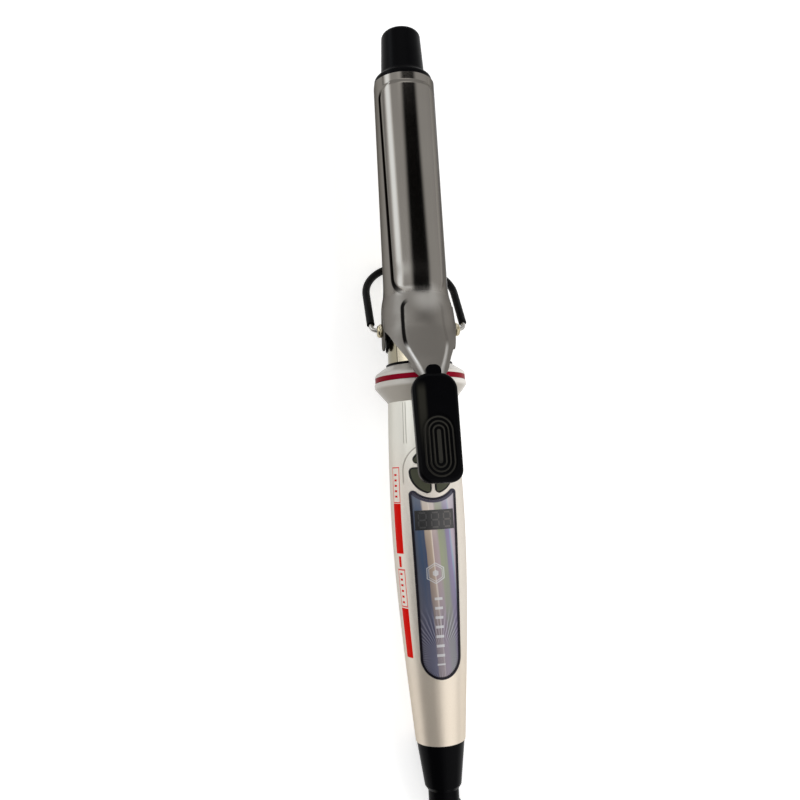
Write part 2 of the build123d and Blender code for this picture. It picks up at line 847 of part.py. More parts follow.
with BuildPart() as thumb_lever:
    with BuildSketch(lever_plane):
        with BuildLine():
            Polyline(
                (0, -lever_front_width / 2),
                (0, lever_front_width / 2),
                (lever_length, lever_rear_width / 2),
                (lever_length, -lever_rear_width / 2),
                close=True,
            )
        make_face()
        fillet(vertices().group_by(Axis.X)[-1], lever_corner)
        fillet(vertices().group_by(Axis.X)[0], lever_rear_corner)
    extrude(amount=lever_thickness)
    upright = Axis(lever_plane.origin, lever_plane.z_dir)
    fillet(faces().sort_by(upright)[-1].edges(), lever_rounding)
    fillet(faces().sort_by(upright)[0].edges(), 0.6)
    with BuildSketch(lever_plane.offset(1.1)):
        RectangleRounded(2 * lever_nose, lever_nose_width, 2.6)
    extrude(amount=lever_thickness - 1.9)
    for width, length in groove_ovals:
        with BuildSketch(lever_plane.offset(lever_thickness - groove_depth)):
            with Locations((groove_centre, 0)):
                SlotOverall(length, width)
                SlotOverall(length - 2 * groove_width, width - 2 * groove_width, mode=Mode.SUBTRACT)
        extrude(amount=2 * groove_depth, mode=Mode.SUBTRACT)
    add(tang_blade, mode=Mode.SUBTRACT)
    for step in rivet_steps:
        with BuildSketch(lever_plane):
            with Locations((step, 0)):
                Circle(lever_rivet_radius)
        extrude(amount=lever_thickness - 1.4, mode=Mode.SUBTRACT)
keep(thumb_lever, "thumb_lever")

with BuildPart() as lever_rivets:
    for step in rivet_steps:
        with BuildSketch(lever_plane):
            with Locations((step, 0)):
                Circle(lever_rivet_radius)
        extrude(amount=lever_thickness - 1.5)
        with BuildSketch(lever_plane):
            with Locations((step, 0)):
                Circle(lever_rivet_radius + 1.0)
        extrude(amount=-0.7)
keep(lever_rivets, "lever_rivets")

# ---------------------------------------------------------------- clamp spring
with BuildPart() as clamp_spring:
    with BuildSketch(Plane.XZ):
        with BuildLine():
            leaf = Line((-14.6, spring_top), (-11.4, spring_top - 1.15))
            Spline(leaf @ 1, (-5.4, barrel_radius + 0.25), tangents=[leaf % 1, (1, -0.1)])
            Line((-5.4, barrel_radius + 0.25), (-1.4, barrel_radius + 0.25))
        trace(line_width=spring_sheet)
    extrude(amount=spring_width / 2, both=True)
keep(clamp_spring, "clamp_spring")

# ---------------------------------------------------------------- stand
lean = radians(stand_lean)
stand_plane = Plane(
    origin=(0, 0, hinge_height),
    x_dir=(cos(lean), 0, -sin(lean)),
    z_dir=(sin(lean), 0, cos(lean)),
)
wire_start = ear_face - 0.4


def stand_loop(start):
    """The stand's round end and its two legs, as far back as start."""
    legs = [Line((start, hand * stand_half_width), (stand_leg, hand * stand_half_width)) for hand in (1, -1)]
    ThreePointArc(legs[0] @ 1, (stand_leg + stand_half_width, 0), legs[1] @ 1)


with BuildPart() as stand_wire:
    with BuildLine(stand_plane) as wire_path:
        stand_loop(stand_leg - 1.0)
        for hand in (1, -1):
            FilletPolyline(
                (0, hand * wire_start),
                (0, hand * stand_half_width),
                (stand_leg - 1.0, hand * stand_half_width),
                radius=wire_corner,
            )
    wire_line = wire_path.wires()[0]
    with BuildSketch(Plane(origin=wire_line @ 0, z_dir=wire_line % 0)):
        Circle(wire_radius)
    sweep(path=wire_line)
keep(stand_wire, "stand_wire")

with BuildPart() as stand_sleeve:
    with BuildLine(stand_plane) as sleeve_path:
        stand_loop(sleeve_start)
    sleeve_line = sleeve_path.wires()[0]
    with BuildSketch(Plane(origin=sleeve_line @ 0, z_dir=sleeve_line % 0)):
        Circle(sleeve_radius)
        Circle(wire_radius + 0.02, mode=Mode.SUBTRACT)
    sweep(path=sleeve_line)
keep(stand_sleeve, "stand_sleeve")

# ---------------------------------------------------------------- resting on the table
loop_x = (stand_leg + stand_half_width) * cos(lean)
loop_z = hinge_height - (stand_leg + stand_half_width) * sin(lean)


def tilt_at(point):
    """The tilt at which the stand's loop and one point of the handle's outline both touch the table."""
    reach_x = loop_x - point.X
    reach_z = loop_z + point.Y
    return atan2(-reach_z, reach_x) + asin(sleeve_radius / sqrt(reach_x**2 + reach_z**2))


tilt = min(tilt_at(point) for point in handle_points)
tipped = Rot(0, -degrees(tilt), 0)
resting_box = Compound(children=[piece.moved(tipped) for piece in pieces]).bounding_box()
RESTING = Pos(-resting_box.center().X, 0, -resting_box.min.Z) * tipped

# ---------------------------------------------------------------- strain relief
turn = radians(relief_angle)
dip = radians(relief_dip)
relief_direction = Vector(-cos(turn) * cos(dip), -sin(turn) * cos(dip), -sin(dip))
relief_origin = Vector(-ball_centre, 0, 0)
relief_plane = Plane(
    origin=relief_origin,
    x_dir=relief_direction,
    z_dir=relief_direction.cross(Vector(0, 0, 1)),
)
rib_pitch = (relief_length - 9.0) / relief_ribs
with BuildPart() as strain_relief:
    with BuildSketch(relief_plane):
        with BuildLine():
            Polyline(
                (1.0, 0),
                (1.0, relief_root_radius),
                (relief_length, relief_end_radius),
                (relief_length, 0),
                close=True,
            )
        make_face()
        with Locations([(7.6 + rib_pitch * rib, relief_root_radius) for rib in range(relief_ribs)]):
            Rectangle(1.1, 2.8, mode=Mode.SUBTRACT)
    revolve(axis=Axis(relief_origin, relief_direction))
    with Locations(relief_origin):
        Sphere(neck_radius, mode=Mode.SUBTRACT)
keep(strain_relief, "strain_relief")


def along_relief(distance):
    """A point on the strain relief's line, where it lies on the table."""
    return (RESTING * Pos(relief_origin + relief_direction * distance)).position

# ---------------------------------------------------------------- cord, hank and plug
table_pieces = []  # pieces that lie on the table beside the iron


def lay(piece, name):
    """Label a finished piece that is already where it lies."""
    piece.part.label = name
    table_pieces.append(piece.part)


def bend_radii(route):
    """The radius of each bend of a route, as large as its shorter neighbouring run allows."""
    radii = []
    for before, here, after in zip(route, route[1:], route[2:]):
        arriving = here - before
        leaving = after - here
        half_turn = radians(arriving.get_angle(leaving)) / 2
        radii.append(0.45 * min(arriving.length, leaving.length) / tan(half_turn))
    return radii


def cord_tube(route, radii):
    """A length of cord along straight runs joined by round bends."""
    with BuildPart(mode=Mode.PRIVATE) as tube:
        with BuildLine() as path:
            FilletPolyline(*route, radius=radii)
        with BuildSketch(Plane(origin=path.line @ 0, z_dir=path.line % 0)):
            Circle(cord_radius)
        sweep(path=path.wires()[0])
    return tube


hank_end = hank_centre + hank_run / 2
lead_route = [
    along_relief(relief_length),
    along_relief(relief_length + 24.0),
    Vector(-240, -27.0, 3.1),
    Vector(hank_end + 11.0, -23.2, 3.7),
]
lead_radii = bend_radii(lead_route)
cord_lead = cord_tube(lead_route, lead_radii)
lay(cord_lead, "cord_lead")

plug_plane = Plane(origin=(plug_face, plug_side, plug_level), x_dir=(0, 1, 0), z_dir=(1, 0, 0))
tail_route = [
    Vector(hank_end + 11.0, 21.5, 4.2),
    Vector(-255.9, 18.55, 4.8),
    Vector(plug_face - plug_length - 10.0, plug_side, plug_level),
]
tail_radii = bend_radii(tail_route)
cord_tail = cord_tube(tail_route, tail_radii)
lay(cord_tail, "cord_tail")

with BuildPart() as cord_hank:
    with BuildSketch(Plane.XY.offset(hank_lift)):
        with Locations((hank_centre, 0)):
            Rectangle(tie_width, 2 * hank_waist)
        for hand in (-1, 1):
            with BuildSketch(mode=Mode.PRIVATE) as half:
                with Locations((hank_centre + hand * hank_run / 2, 0)):
                    Circle(hank_fold_radius + 2 * cord_radius)
                with Locations((hank_centre + hand * (tie_width / 2 + 0.5), 0)):
                    Rectangle(1.0, 2 * hank_waist)
                make_hull()
            add(half.sketch)
    extrude(amount=hank_height)
    fillet(faces().filter_by(Axis.Z).edges(), 4.0)
lay(cord_hank, "cord_hank")

tie_inner_width = 2 * hank_waist + seat_gap
with BuildPart() as cord_tie:
    with BuildSketch(Plane.YZ.offset(hank_centre - tie_width / 2)):
        with Locations((0, hank_lift + hank_height / 2)):
            RectangleRounded(tie_inner_width + 2 * tie_thickness, hank_height + 2 * tie_thickness, 4.6)
            RectangleRounded(tie_inner_width, hank_height, 3.9, mode=Mode.SUBTRACT)
    extrude(amount=tie_width)
lay(cord_tie, "cord_tie")

plug_stations = (  # distance behind the face, width, height, corner
    (0.0, plug_width, plug_height, 6.0),
    (0.42 * plug_length, plug_width, plug_height, 6.0),
    (0.78 * plug_length, 0.62 * plug_width, 0.86 * plug_height, 5.0),
    (plug_length, plug_neck_width, 0.68 * plug_height, 4.4),
)
with BuildPart() as plug_body:
    for near, far in zip(plug_stations, plug_stations[1:]):
        for distance, width, height, corner in (near, far):
            with BuildSketch(plug_plane.offset(-distance)):
                RectangleRounded(width, height, corner)
        loft()
    with BuildSketch(plug_plane.offset(-plug_length - 10.0)):
        Circle(relief_end_radius)
    with BuildSketch(plug_plane.offset(-plug_length)):
        Circle(relief_root_radius - 0.2)
    loft()
    fillet(faces().sort_by(Axis.X)[-1].edges(), 1.2)
lay(plug_body, "plug_body")

with BuildPart() as plug_pins:
    with BuildSketch(plug_plane):
        with GridLocations(pin_spacing, 0, 2, 1):
            Circle(pin_radius)
    extrude(amount=pin_length)
    fillet(faces().sort_by(Axis.X)[-2:].edges(), 1.6)
lay(plug_pins, "plug_pins")

# ---------------------------------------------------------------- written files
os.makedirs("parts", exist_ok=True)
for piece in pieces:
    placed = piece.moved(RESTING)
    placed.label = piece.label
    export_step(placed, f"parts/{piece.label}.step")
for piece in table_pieces:
    export_step(piece, f"parts/{piece.label}.step")

print("tilt of the resting iron", round(degrees(tilt), 3))
print("hinge at", (RESTING * Pos(0, 0, hinge_height)).position)
print("lead route", lead_route, "radii", [round(radius, 1) for radius in lead_radii])
print("tail radii", [round(radius, 1) for radius in tail_radii])
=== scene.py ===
"""Curling iron: finishes, cord, clamp shell and studio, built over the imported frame."""

import json
from math import acos, asin, atan2, cos, pi, radians, sin, sqrt

import bpy
from mathutils import Euler, Matrix, Vector


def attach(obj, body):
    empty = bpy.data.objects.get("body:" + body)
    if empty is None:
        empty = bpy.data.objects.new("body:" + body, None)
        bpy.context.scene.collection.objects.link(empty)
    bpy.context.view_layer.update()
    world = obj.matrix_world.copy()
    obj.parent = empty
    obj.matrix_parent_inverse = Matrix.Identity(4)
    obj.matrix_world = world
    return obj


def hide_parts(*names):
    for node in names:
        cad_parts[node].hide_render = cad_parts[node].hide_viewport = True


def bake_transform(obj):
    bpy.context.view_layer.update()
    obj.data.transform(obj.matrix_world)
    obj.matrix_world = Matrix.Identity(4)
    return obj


bl_info = {
    "name": "Curling iron",
    "version": (1, 0, 0),
    "blender": (4, 5, 0),
    "location": "3D View > Sidebar > Curling iron",
    "description": "Finishes, cord, clamp shell and studio of a clip type curling iron",
    "category": "Object",
}

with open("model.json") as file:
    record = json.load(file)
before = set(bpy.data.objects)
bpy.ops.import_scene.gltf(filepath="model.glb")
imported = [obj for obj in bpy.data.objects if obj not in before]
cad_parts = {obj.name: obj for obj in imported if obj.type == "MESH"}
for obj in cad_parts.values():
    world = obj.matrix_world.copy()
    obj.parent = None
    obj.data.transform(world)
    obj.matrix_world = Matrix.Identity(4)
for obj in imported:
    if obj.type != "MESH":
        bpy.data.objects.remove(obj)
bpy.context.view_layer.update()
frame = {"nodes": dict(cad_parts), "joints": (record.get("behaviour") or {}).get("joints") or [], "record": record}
nodes = frame["nodes"]
joints = {joint["name"]: joint for joint in frame["joints"]}

# The iron lies tilted on the table. Its own axes: X along the barrel to the tip, Y to the left of a
# user looking along it, Z to the buttons' side, with the hinge above X = 0.
ALONG = Vector(joints["cord_swivel"]["axis"]).normalized()
TILT = atan2(ALONG.z, ALONG.x)
HINGE = Vector(joints["clamp_hinge"]["pos_m"])
HINGE_HEIGHT = 3.0  # mm above the barrel's axis
TURN = Matrix.Rotation(-TILT, 3, "Y")
ORIGIN = HINGE - TURN @ Vector((0, 0, HINGE_HEIGHT / 1000))
FROM_IRON = Matrix.Translation(ORIGIN) @ TURN.to_4x4() @ Matrix.Scale(0.001, 4)

# Places along the iron that several finishes share, in mm of its own axes.
BUTTONS = -62.2  # middle of the round button group
DISPLAY = -82.0  # middle of the display window
BADGE = -102.9  # middle of the hexagon on the film
FILM_END = -135.3  # middle of the film's round end, where its rays start


def colour(red, green, blue):
    """A screen colour, 0 to 255, as the linear colour that sockets take."""
    shares = [channel / 255 for channel in (red, green, blue)]
    linear = [c / 12.92 if c <= 0.04045 else ((c + 0.055) / 1.055) ** 2.4 for c in shares]
    return (*linear, 1.0)


# ---------------------------------------------------------------- settings
def tone(name, description, red, green, blue):
    """A colour that a user can change, its default given as a screen colour."""
    return bpy.props.FloatVectorProperty(
        name=name,
        description=description,
        default=colour(red, green, blue),
        size=4,
        min=0.0,
        max=1.0,
        subtype="COLOR",
    )


class StudioSizes(bpy.types.PropertyGroup):
    """The studio's light."""

    key_power: bpy.props.FloatProperty(
        name="Key light",
        description="Power of the soft light on the right",
        default=3.8,
        min=0.0,
        unit="POWER",
    )
    fill_power: bpy.props.FloatProperty(
        name="Fill light",
        description="Power of the soft light overhead",
        default=2.0,
        min=0.0,
        unit="POWER",
    )
    sky_level: bpy.props.FloatProperty(
        name="Soft light",
        description="Level of the light from all round",
        default=0.38,
        min=0.0,
        soft_max=2.0,
    )
    floor_glow: bpy.props.FloatProperty(
        name="Floor glow",
        description="Light that the white floor adds",
        default=0.56,
        min=0.0,
        soft_max=2.0,
    )


class CordSizes(bpy.types.PropertyGroup):
    """The mains lead."""

    diameter: bpy.props.FloatProperty(
        name="Diameter",
        description="Outside of the cord's jacket",
        default=0.006,
        min=0.003,
        max=0.01,
        unit="LENGTH",
    )
    length: bpy.props.FloatProperty(
        name="Length",
        description="From the strain relief to the plug",
        default=1.8,
        min=0.5,
        unit="LENGTH",
    )


class ClampSizes(bpy.types.PropertyGroup):
    """The spring clamp and its hinge."""

    sheet: bpy.props.FloatProperty(
        name="Sheet",
        description="Thickness of the clamp's metal",
        default=0.0008,
        min=0.0004,
        unit="LENGTH",
    )
    panel_height: bpy.props.FloatProperty(
        name="Panel height",
        description="Rise of the clamp's long panel",
        default=0.0005,
        min=0.0,
        unit="LENGTH",
    )
    bead_height: bpy.props.FloatProperty(
        name="Bead height",
        description="Rise of the bead down the neck",
        default=0.0004,
        min=0.0,
        unit="LENGTH",
    )
    rivet_diameter: bpy.props.FloatProperty(
        name="Rivet diameter",
        description="Across a rivet's domed head",
        default=0.0058,
        min=0.003,
        unit="LENGTH",
    )
    rivet_height: bpy.props.FloatProperty(
        name="Rivet height",
        description="From a rivet head's seat to its top",
        default=0.0028,
        min=0.001,
        unit="LENGTH",
    )
    spring_width: bpy.props.FloatProperty(
        name="Spring width",
        description="Across the leaf spring",
        default=0.006,
        min=0.002,
        unit="LENGTH",
    )


class IronColours(bpy.types.PropertyGroup):
    """Two close tones of each finish that a user would choose."""

    barrel_dark: tone("Barrel, darker", "Darker tone of the barrel's coating", 197, 188, 164)
    barrel_light: tone("Barrel, lighter", "Lighter tone of the barrel's coating", 208, 200, 180)
    clamp_dark: tone("Clamp, darker", "Darker tone of the clamp's dark chrome", 113, 109, 104)
    clamp_light: tone("Clamp, lighter", "Lighter tone of the clamp's dark chrome", 128, 124, 118)
    collar_dark: tone("Collar, darker", "Darker tone of the glossy collar", 230, 224, 214)
    collar_light: tone("Collar, lighter", "Lighter tone of the glossy collar", 242, 238, 231)
    ring_dark: tone("Ring, darker", "Darker tone of the crimson ring", 112, 3, 24)
    ring_light: tone("Ring, lighter", "Lighter tone of the crimson ring", 154, 14, 40)
    handle_dark: tone("Handle, darker", "Darker tone of the handle's pearl lacquer", 214, 205, 193)
    handle_light: tone("Handle, lighter", "Lighter tone of the handle's pearl lacquer", 230, 223, 213)
    stripe_dark: tone("Stripes, darker", "Darker tone of the printed stripes", 248, 18, 10)
    stripe_light: tone("Stripes, lighter", "Lighter tone of the printed stripes", 255, 26, 14)
    button_dark: tone("Buttons, darker", "Darker tone of the push buttons", 66, 68, 52)
    button_light: tone("Buttons, lighter", "Lighter tone of the push buttons", 78, 80, 62)


# ---------------------------------------------------------------- shader expressions
# A Mix node's sockets share their names, so they are called by number.
FACTOR, FIRST_NUMBER, SECOND_NUMBER, FIRST_COLOUR, SECOND_COLOUR, MIXED_COLOUR = 0, 2, 3, 6, 7, 2


class Value:
    """A node's output socket that takes part in arithmetic and comparison."""

    def __init__(self, board, socket):
        self.board = board
        self.socket = socket

    def __add__(self, other):
        return self.board.math("ADD", self, other)

    def __sub__(self, other):
        return self.board.math("SUBTRACT", self, other)

    def __rsub__(self, other):
        return self.board.math("SUBTRACT", other, self)

    def __mul__(self, other):
        return self.board.math("MULTIPLY", self, other)

    def __truediv__(self, other):
        return self.board.math("DIVIDE", self, other)

    def __pow__(self, other):
        return self.board.math("POWER", self, other)

    def __gt__(self, other):
        return self.board.math("GREATER_THAN", self, other)

    def __lt__(self, other):
        return self.board.math("LESS_THAN", self, other)

    def __abs__(self):
        return self.board.math("ABSOLUTE", self)

    __radd__ = __add__
    __rmul__ = __mul__


class Board:
    """A node tree, and the calls that add nodes to it."""

    def __init__(self, tree):
        self.tree = tree
        tree.nodes.clear()

    def node(self, kind, settings=None, inputs=None, output=0):
        """Adds a node: its settings first, then its sockets' values or links. Returns one output."""
        made = self.tree.nodes.new(kind)
        for name, setting in (settings or {}).items():
            if name == "stops":
                ramp = made.color_ramp.elements
                while len(ramp) < len(setting):
                    ramp.new(1.0)
                for stop, (place, paint) in zip(ramp, sorted(setting)):
                    stop.position = place
                    stop.color = paint
            else:
                setattr(made, name, setting)
        for name, given in (inputs or {}).items():
            self.give(made.inputs[name], given)
        return Value(self, made.outputs[output]) if made.outputs else None

    def give(self, socket, given):
        """Links an input socket, or sets it."""
        if isinstance(given, Value):
            self.tree.links.new(given.socket, socket)
        else:
            socket.default_value = given

    def math(self, operation, *values):
        """One Math node."""
        return self.node("ShaderNodeMath", {"operation": operation}, dict(enumerate(values)))

    def smooth(self, value, low, high):
        """0 at low, 1 at high, eased at both ends."""
        settings = {"interpolation_type": "SMOOTHSTEP"}
        return self.node("ShaderNodeMapRange", settings, {0: value, 1: low, 2: high, 3: 0.0, 4: 1.0})

    def band(self, value, low, high, soft):
        """1 between low and high, fading to 0 over soft at each side."""
        return self.smooth(value, low - soft, low) * (1 - self.smooth(value, high, high + soft))

    def mix(self, factor, first, second):
        """One colour over another."""
        settings = {"data_type": "RGBA", "clamp_factor": True}
        inputs = {FACTOR: factor, FIRST_COLOUR: first, SECOND_COLOUR: second}
        return self.node("ShaderNodeMix", settings, inputs, MIXED_COLOUR)

    def either(self, factor, first, second):
        """One number over another."""
        inputs = {FACTOR: factor, FIRST_NUMBER: first, SECOND_NUMBER: second}
        return self.node("ShaderNodeMix", {"data_type": "FLOAT"}, inputs)

    def ramp(self, value, stops):
        """A colour ramp: stops are places and colours."""
        return self.node("ShaderNodeValToRGB", {"stops": stops}, {0: value})

    def join(self, x, y, z):
        """A vector from three values."""
        return self.node("ShaderNodeCombineXYZ", None, {0: x, 1: y, 2: z})

    def split(self, vector):
        """The three values of a vector."""
        return [self.node("ShaderNodeSeparateXYZ", None, {0: vector}, axis) for axis in range(3)]


class Finish(Board):
    """A material: one Principled shader and the nodes that feed it."""

    def __init__(self, name, **fixed):
        self.material = bpy.data.materials.new(name)
        self.material.use_nodes = True
        super().__init__(self.material.node_tree)
        inputs = {name.replace("_", " "): value for name, value in fixed.items()}
        shader = self.node("ShaderNodeBsdfPrincipled", None, inputs)
        self.shader = shader.socket.node
        self.node("ShaderNodeOutputMaterial", None, {"Surface": shader})
        to_iron = {"Location": ORIGIN, "Rotation": (0, -TILT, 0), "Scale": (0.001,) * 3}
        to_iron["Vector"] = self.node("ShaderNodeTexCoord", output="Object")
        self.place = self.node("ShaderNodeMapping", {"vector_type": "TEXTURE"}, to_iron)
        self.x, self.y, self.z = self.split(self.place)

    def feed(self, **sockets):
        """Links or sets the shader's sockets; underscores stand for spaces."""
        for name, given in sockets.items():
            self.give(self.shader.inputs[name.replace("_", " ")], given)

    def around(self):
        """The angle round the barrel's axis in radians, 0 on the buttons' side and growing to +Y."""
        return self.math("ARCTAN2", self.y, self.z)

    def reach(self, x, y=0.0):
        """Distance in mm, in plan, from a place on the iron."""
        return ((self.x - x) ** 2 + (self.y - y) ** 2) ** 0.5

    def noise(self, scale, detail=2.0, vector=None):
        """Noise with features of about 1/scale mm."""
        inputs = {"Vector": vector or self.place, "Scale": scale, "Detail": detail}
        return self.node("ShaderNodeTexNoise", None, inputs)

    def mark(self, name):
        """A value that the mesh carries at its points."""
        return self.node("ShaderNodeAttribute", {"attribute_name": name}, output="Fac")

    def crease(self, edge, facing, narrow, wide):
        """1 along an outline's sides, fading over a few tenths of a mm."""
        beside = 1 - self.smooth(abs(self.mark(edge)), narrow, wide)
        return beside * self.smooth(self.mark(facing), 0.2, 0.9)

    def banding(self, value, spans, soft):
        """1 inside any of the spans."""
        bands = [self.band(value, low, high, soft) for low, high in spans]
        for band in bands[1:]:
            bands[0] = self.math("MAXIMUM", bands[0], band)
        return bands[0]

    def keyhole(self):
        """The fine groove round the button group and down to the panel."""
        ahead = self.x > BUTTONS
        outline = self.reach(BUTTONS) * ahead + abs(self.y) * (1 - ahead)
        return self.band(outline, 11.5, 11.75, 0.25) * self.smooth(self.x, -68.0, -66.0)

    def bump(self, height, depth):
        """Feeds the normal with a height from 0 to 1, depth in mm."""
        inputs = {"Height": height, "Strength": 1.0, "Distance": depth / 1000}
        self.feed(Normal=self.node("ShaderNodeBump", None, inputs))


# ---------------------------------------------------------------- finishes
def champagne_chrome(colours):
    """Polished coated barrel with faint turning rings and handling marks, its lower side painted darker as painted
    shade under a dark line.
    """
    made = Finish("champagne_chrome", Metallic=1.0)
    rings = made.noise(1.0, 3.0, made.join(made.x * 9, made.y * 0.3, made.z * 0.3))
    clouds = made.noise(0.05, 3.0)
    paint = made.mix(clouds, colours.barrel_dark, colours.barrel_light)
    # Painted shade: a dark line and, below it, a band painted darker on the barrel's lower side stand for a dark
    # reflection.
    around = abs(made.around())
    dark_line = made.band(around, 0.915, 0.94, 0.01)
    below = made.band(around, 0.94, 1.8, 0.02)
    paint = made.mix(below * 0.8, paint, colour(122, 117, 98))
    made.feed(Base_Color=made.mix(dark_line * 0.85, paint, colour(40, 38, 32)))
    made.feed(Roughness=0.14 + 0.08 * rings + 0.06 * clouds)
    made.bump(rings, 0.001)
    return made


def gunmetal(colours):
    """Dark chromed clamp plate, drawn lengthwise, with painted shade in the creases beside its raised forms, a
    painted highlight down the neck's bead and a painted highlight patch on the flare.
    """
    made = Finish("gunmetal", Metallic=1.0, Specular_Tint=(0.35, 0.35, 0.35, 1))
    drawn = made.noise(1.0, 3.0, made.join(made.x * 0.05, made.y * 4.0, made.z * 4.0))
    clouds = made.noise(0.04, 2.0)
    paint = made.mix(drawn * 0.35 + clouds * 0.5, colours.clamp_dark, colours.clamp_light)
    # Painted shade: the creases beside the panel and the bead are painted near black, a dark reflection painted
    # in, fainter on the right side.
    panel = made.crease("panel_edge", "panel_facing", 0.8, 1.5)
    bead = made.crease("bead_edge", "bead_facing", 0.6, 1.25)
    neck = made.smooth(made.x, -7.5, -12.0)
    crease = made.math("MAXIMUM", panel, bead * (1 - neck))
    # Painted highlight: the bead's edges down the neck are painted pale.
    painted_bead_highlight = 1 - made.smooth(abs(made.mark("bead_edge")), 0.2, 1.4)
    paint = made.mix(painted_bead_highlight * neck * 0.5, paint, colour(216, 214, 210))
    # Painted highlight: a soft pale patch on the flare.
    painted_flare_highlight = 1 - made.smooth(made.reach(12.0, -2.5), 1.0, 9.5)
    paint = made.mix(painted_flare_highlight * 0.6, paint, colour(196, 193, 188))
    made.feed(Base_Color=made.mix(crease * 0.97, paint, colour(7, 6, 6)))
    rear = 1 - made.smooth(made.x, 13.0, 17.5)
    made.feed(Roughness=0.07 + 0.03 * drawn + 0.03 * clouds + 0.34 * rear + 0.15 * crease)
    made.bump(drawn, 0.0015)
    return made


def bright_wire(name, grey, warmth):
    """Drawn and polished metal of a grey level, 0 to 255, and a warmth."""
    made = Finish(name, Metallic=1.0)
    drawn = made.noise(3.0, 3.0)
    low = colour(grey - 22, grey - 24 - warmth / 4, grey - 26 - warmth)
    high = colour(grey + 8, grey + 6 - warmth / 4, grey + 4 - warmth)
    made.feed(Base_Color=made.mix(drawn, low, high), Roughness=0.12 + 0.1 * drawn)
    made.bump(drawn, 0.01)
    return made


def satin_black(name, grey, shine, rough, grain):
    """Moulded black plastic with a fine spark-eroded grain and a little rubbing."""
    made = Finish(name, Specular_IOR_Level=shine)
    fine = made.noise(grain, 2.0)
    rubbing_and_highlight = made.noise(0.07, 3.0)
    low, high = colour(grey - 4, grey - 4, grey - 3), colour(grey + 5, grey + 5, grey + 7)
    made.paint = made.mix(fine * 0.5 + rubbing_and_highlight * 0.5, low, high)
    made.feed(Base_Color=made.paint, Roughness=rough + 0.1 * (rubbing_and_highlight - 0.5) + 0.08 * (fine - 0.5))
    made.bump(fine, 0.012)
    return made


def lever_plastic():
    """Glossy black lever with a painted highlight on its left shoulder and painted sheen, lighter, on the grip
    pad's lands between its oval grooves.
    """
    made = satin_black("lever_plastic", 5, 0.035, 0.24, 4.0)
    along = abs((made.x + 23.6) * -1.0043 - 29.4)
    beyond = made.math("MAXIMUM", along - 5.9, 0.0)
    oval = (beyond**2 + made.y**2) ** 0.5
    lands = made.banding(oval, ((-1.0, 0.8), (2.0, 2.6), (3.75, 4.3), (5.5, 6.1)), 0.12) * (made.z > 30.0)
    neck = made.smooth(made.x, -58.0, -36.0) * (1 - made.smooth(made.x, -31.0, -26.0))
    # Painted highlight: a soft olive band along the lever's left shoulder.
    painted_shoulder_highlight = made.band(made.y, 5.2, 6.6, 1.8) * neck
    rubbing_and_highlight = made.mix(painted_shoulder_highlight, made.paint, colour(46, 45, 40))
    # Painted sheen: the lands between the grooves are painted lighter.
    made.feed(Base_Color=made.mix(lands, rubbing_and_highlight, colour(52, 51, 47)))
    return made


def white_gloss(colours):
    """Glossy white moulding, slightly warm, with faint flow marks and painted shade on its rear flare."""
    made = Finish("white_gloss", Specular_IOR_Level=0.3)
    clouds = made.noise(0.08, 3.0)
    fine = made.noise(2.5, 1.0)
    # Painted shade: the collar's rear flare is painted darker and warmer.
    rear = 1 - made.smooth(made.x, -26.6, -25.2)
    paint = made.mix(clouds, colours.collar_dark, colours.collar_light)
    made.feed(Base_Color=made.mix(rear * 0.8, paint, colour(182, 174, 161)))
    made.feed(Roughness=0.22 + 0.08 * clouds)
    made.bump(fine, 0.002)
    return made


def crimson_trim(colours):
    """Metallised crimson ring with turned lines."""
    made = Finish("crimson_trim", Metallic=0.35, Specular_IOR_Level=0.1, Specular_Tint=(0.5, 0.1, 0.2, 1))
    turned = made.noise(1.0, 2.0, made.join(made.x * 14, made.y * 0.2, made.z * 0.2))
    flake = made.node("ShaderNodeTexVoronoi", None, {"Vector": made.place, "Scale": 4.0})
    made.feed(Base_Color=made.mix(turned * 0.6 + flake * 0.3, colours.ring_dark, colours.ring_light))
    made.feed(Roughness=0.3 + 0.12 * turned)
    made.bump(turned, 0.01)
    return made


PRINTED_BARS = ((-95.2, -75.2), (-135.7, -116.8))
PRINTED_FRAMES = ((-74.9, -60.1), (-116.3, -101.4))
FRAME_OPENINGS = ((-74.4, -60.6), (-115.8, -102.0))
FRAME_RUNGS = ((-73.4, -61.6), (-114.8, -103.0))
PRINTED_TICK = ((-100.6, -96.4),)


def printed_stripes(made, around):
    """Where the handle's side is printed: two bars, two frames with rungs, and a tick."""
    stripe = made.band(around, 0.97, 1.28, 0.012)
    middle = made.band(around, 1.09, 1.18, 0.02)
    opening = made.band(around, 1.0, 1.25, 0.012) * made.banding(made.x, FRAME_OPENINGS, 0.1)
    bars = stripe * made.banding(made.x, PRINTED_BARS, 0.1)
    frames = stripe * made.banding(made.x, PRINTED_FRAMES, 0.1) * (1 - opening) * 0.8
    rung = made.math("PINGPONG", made.x * 0.9, 1.0) > 0.62
    dashes = middle * rung * made.banding(made.x, FRAME_RUNGS, 0.1)
    tick = middle * made.banding(made.x, PRINTED_TICK, 0.1)
    return made.math("MAXIMUM", made.math("MAXIMUM", bars, frames), dashes + tick)


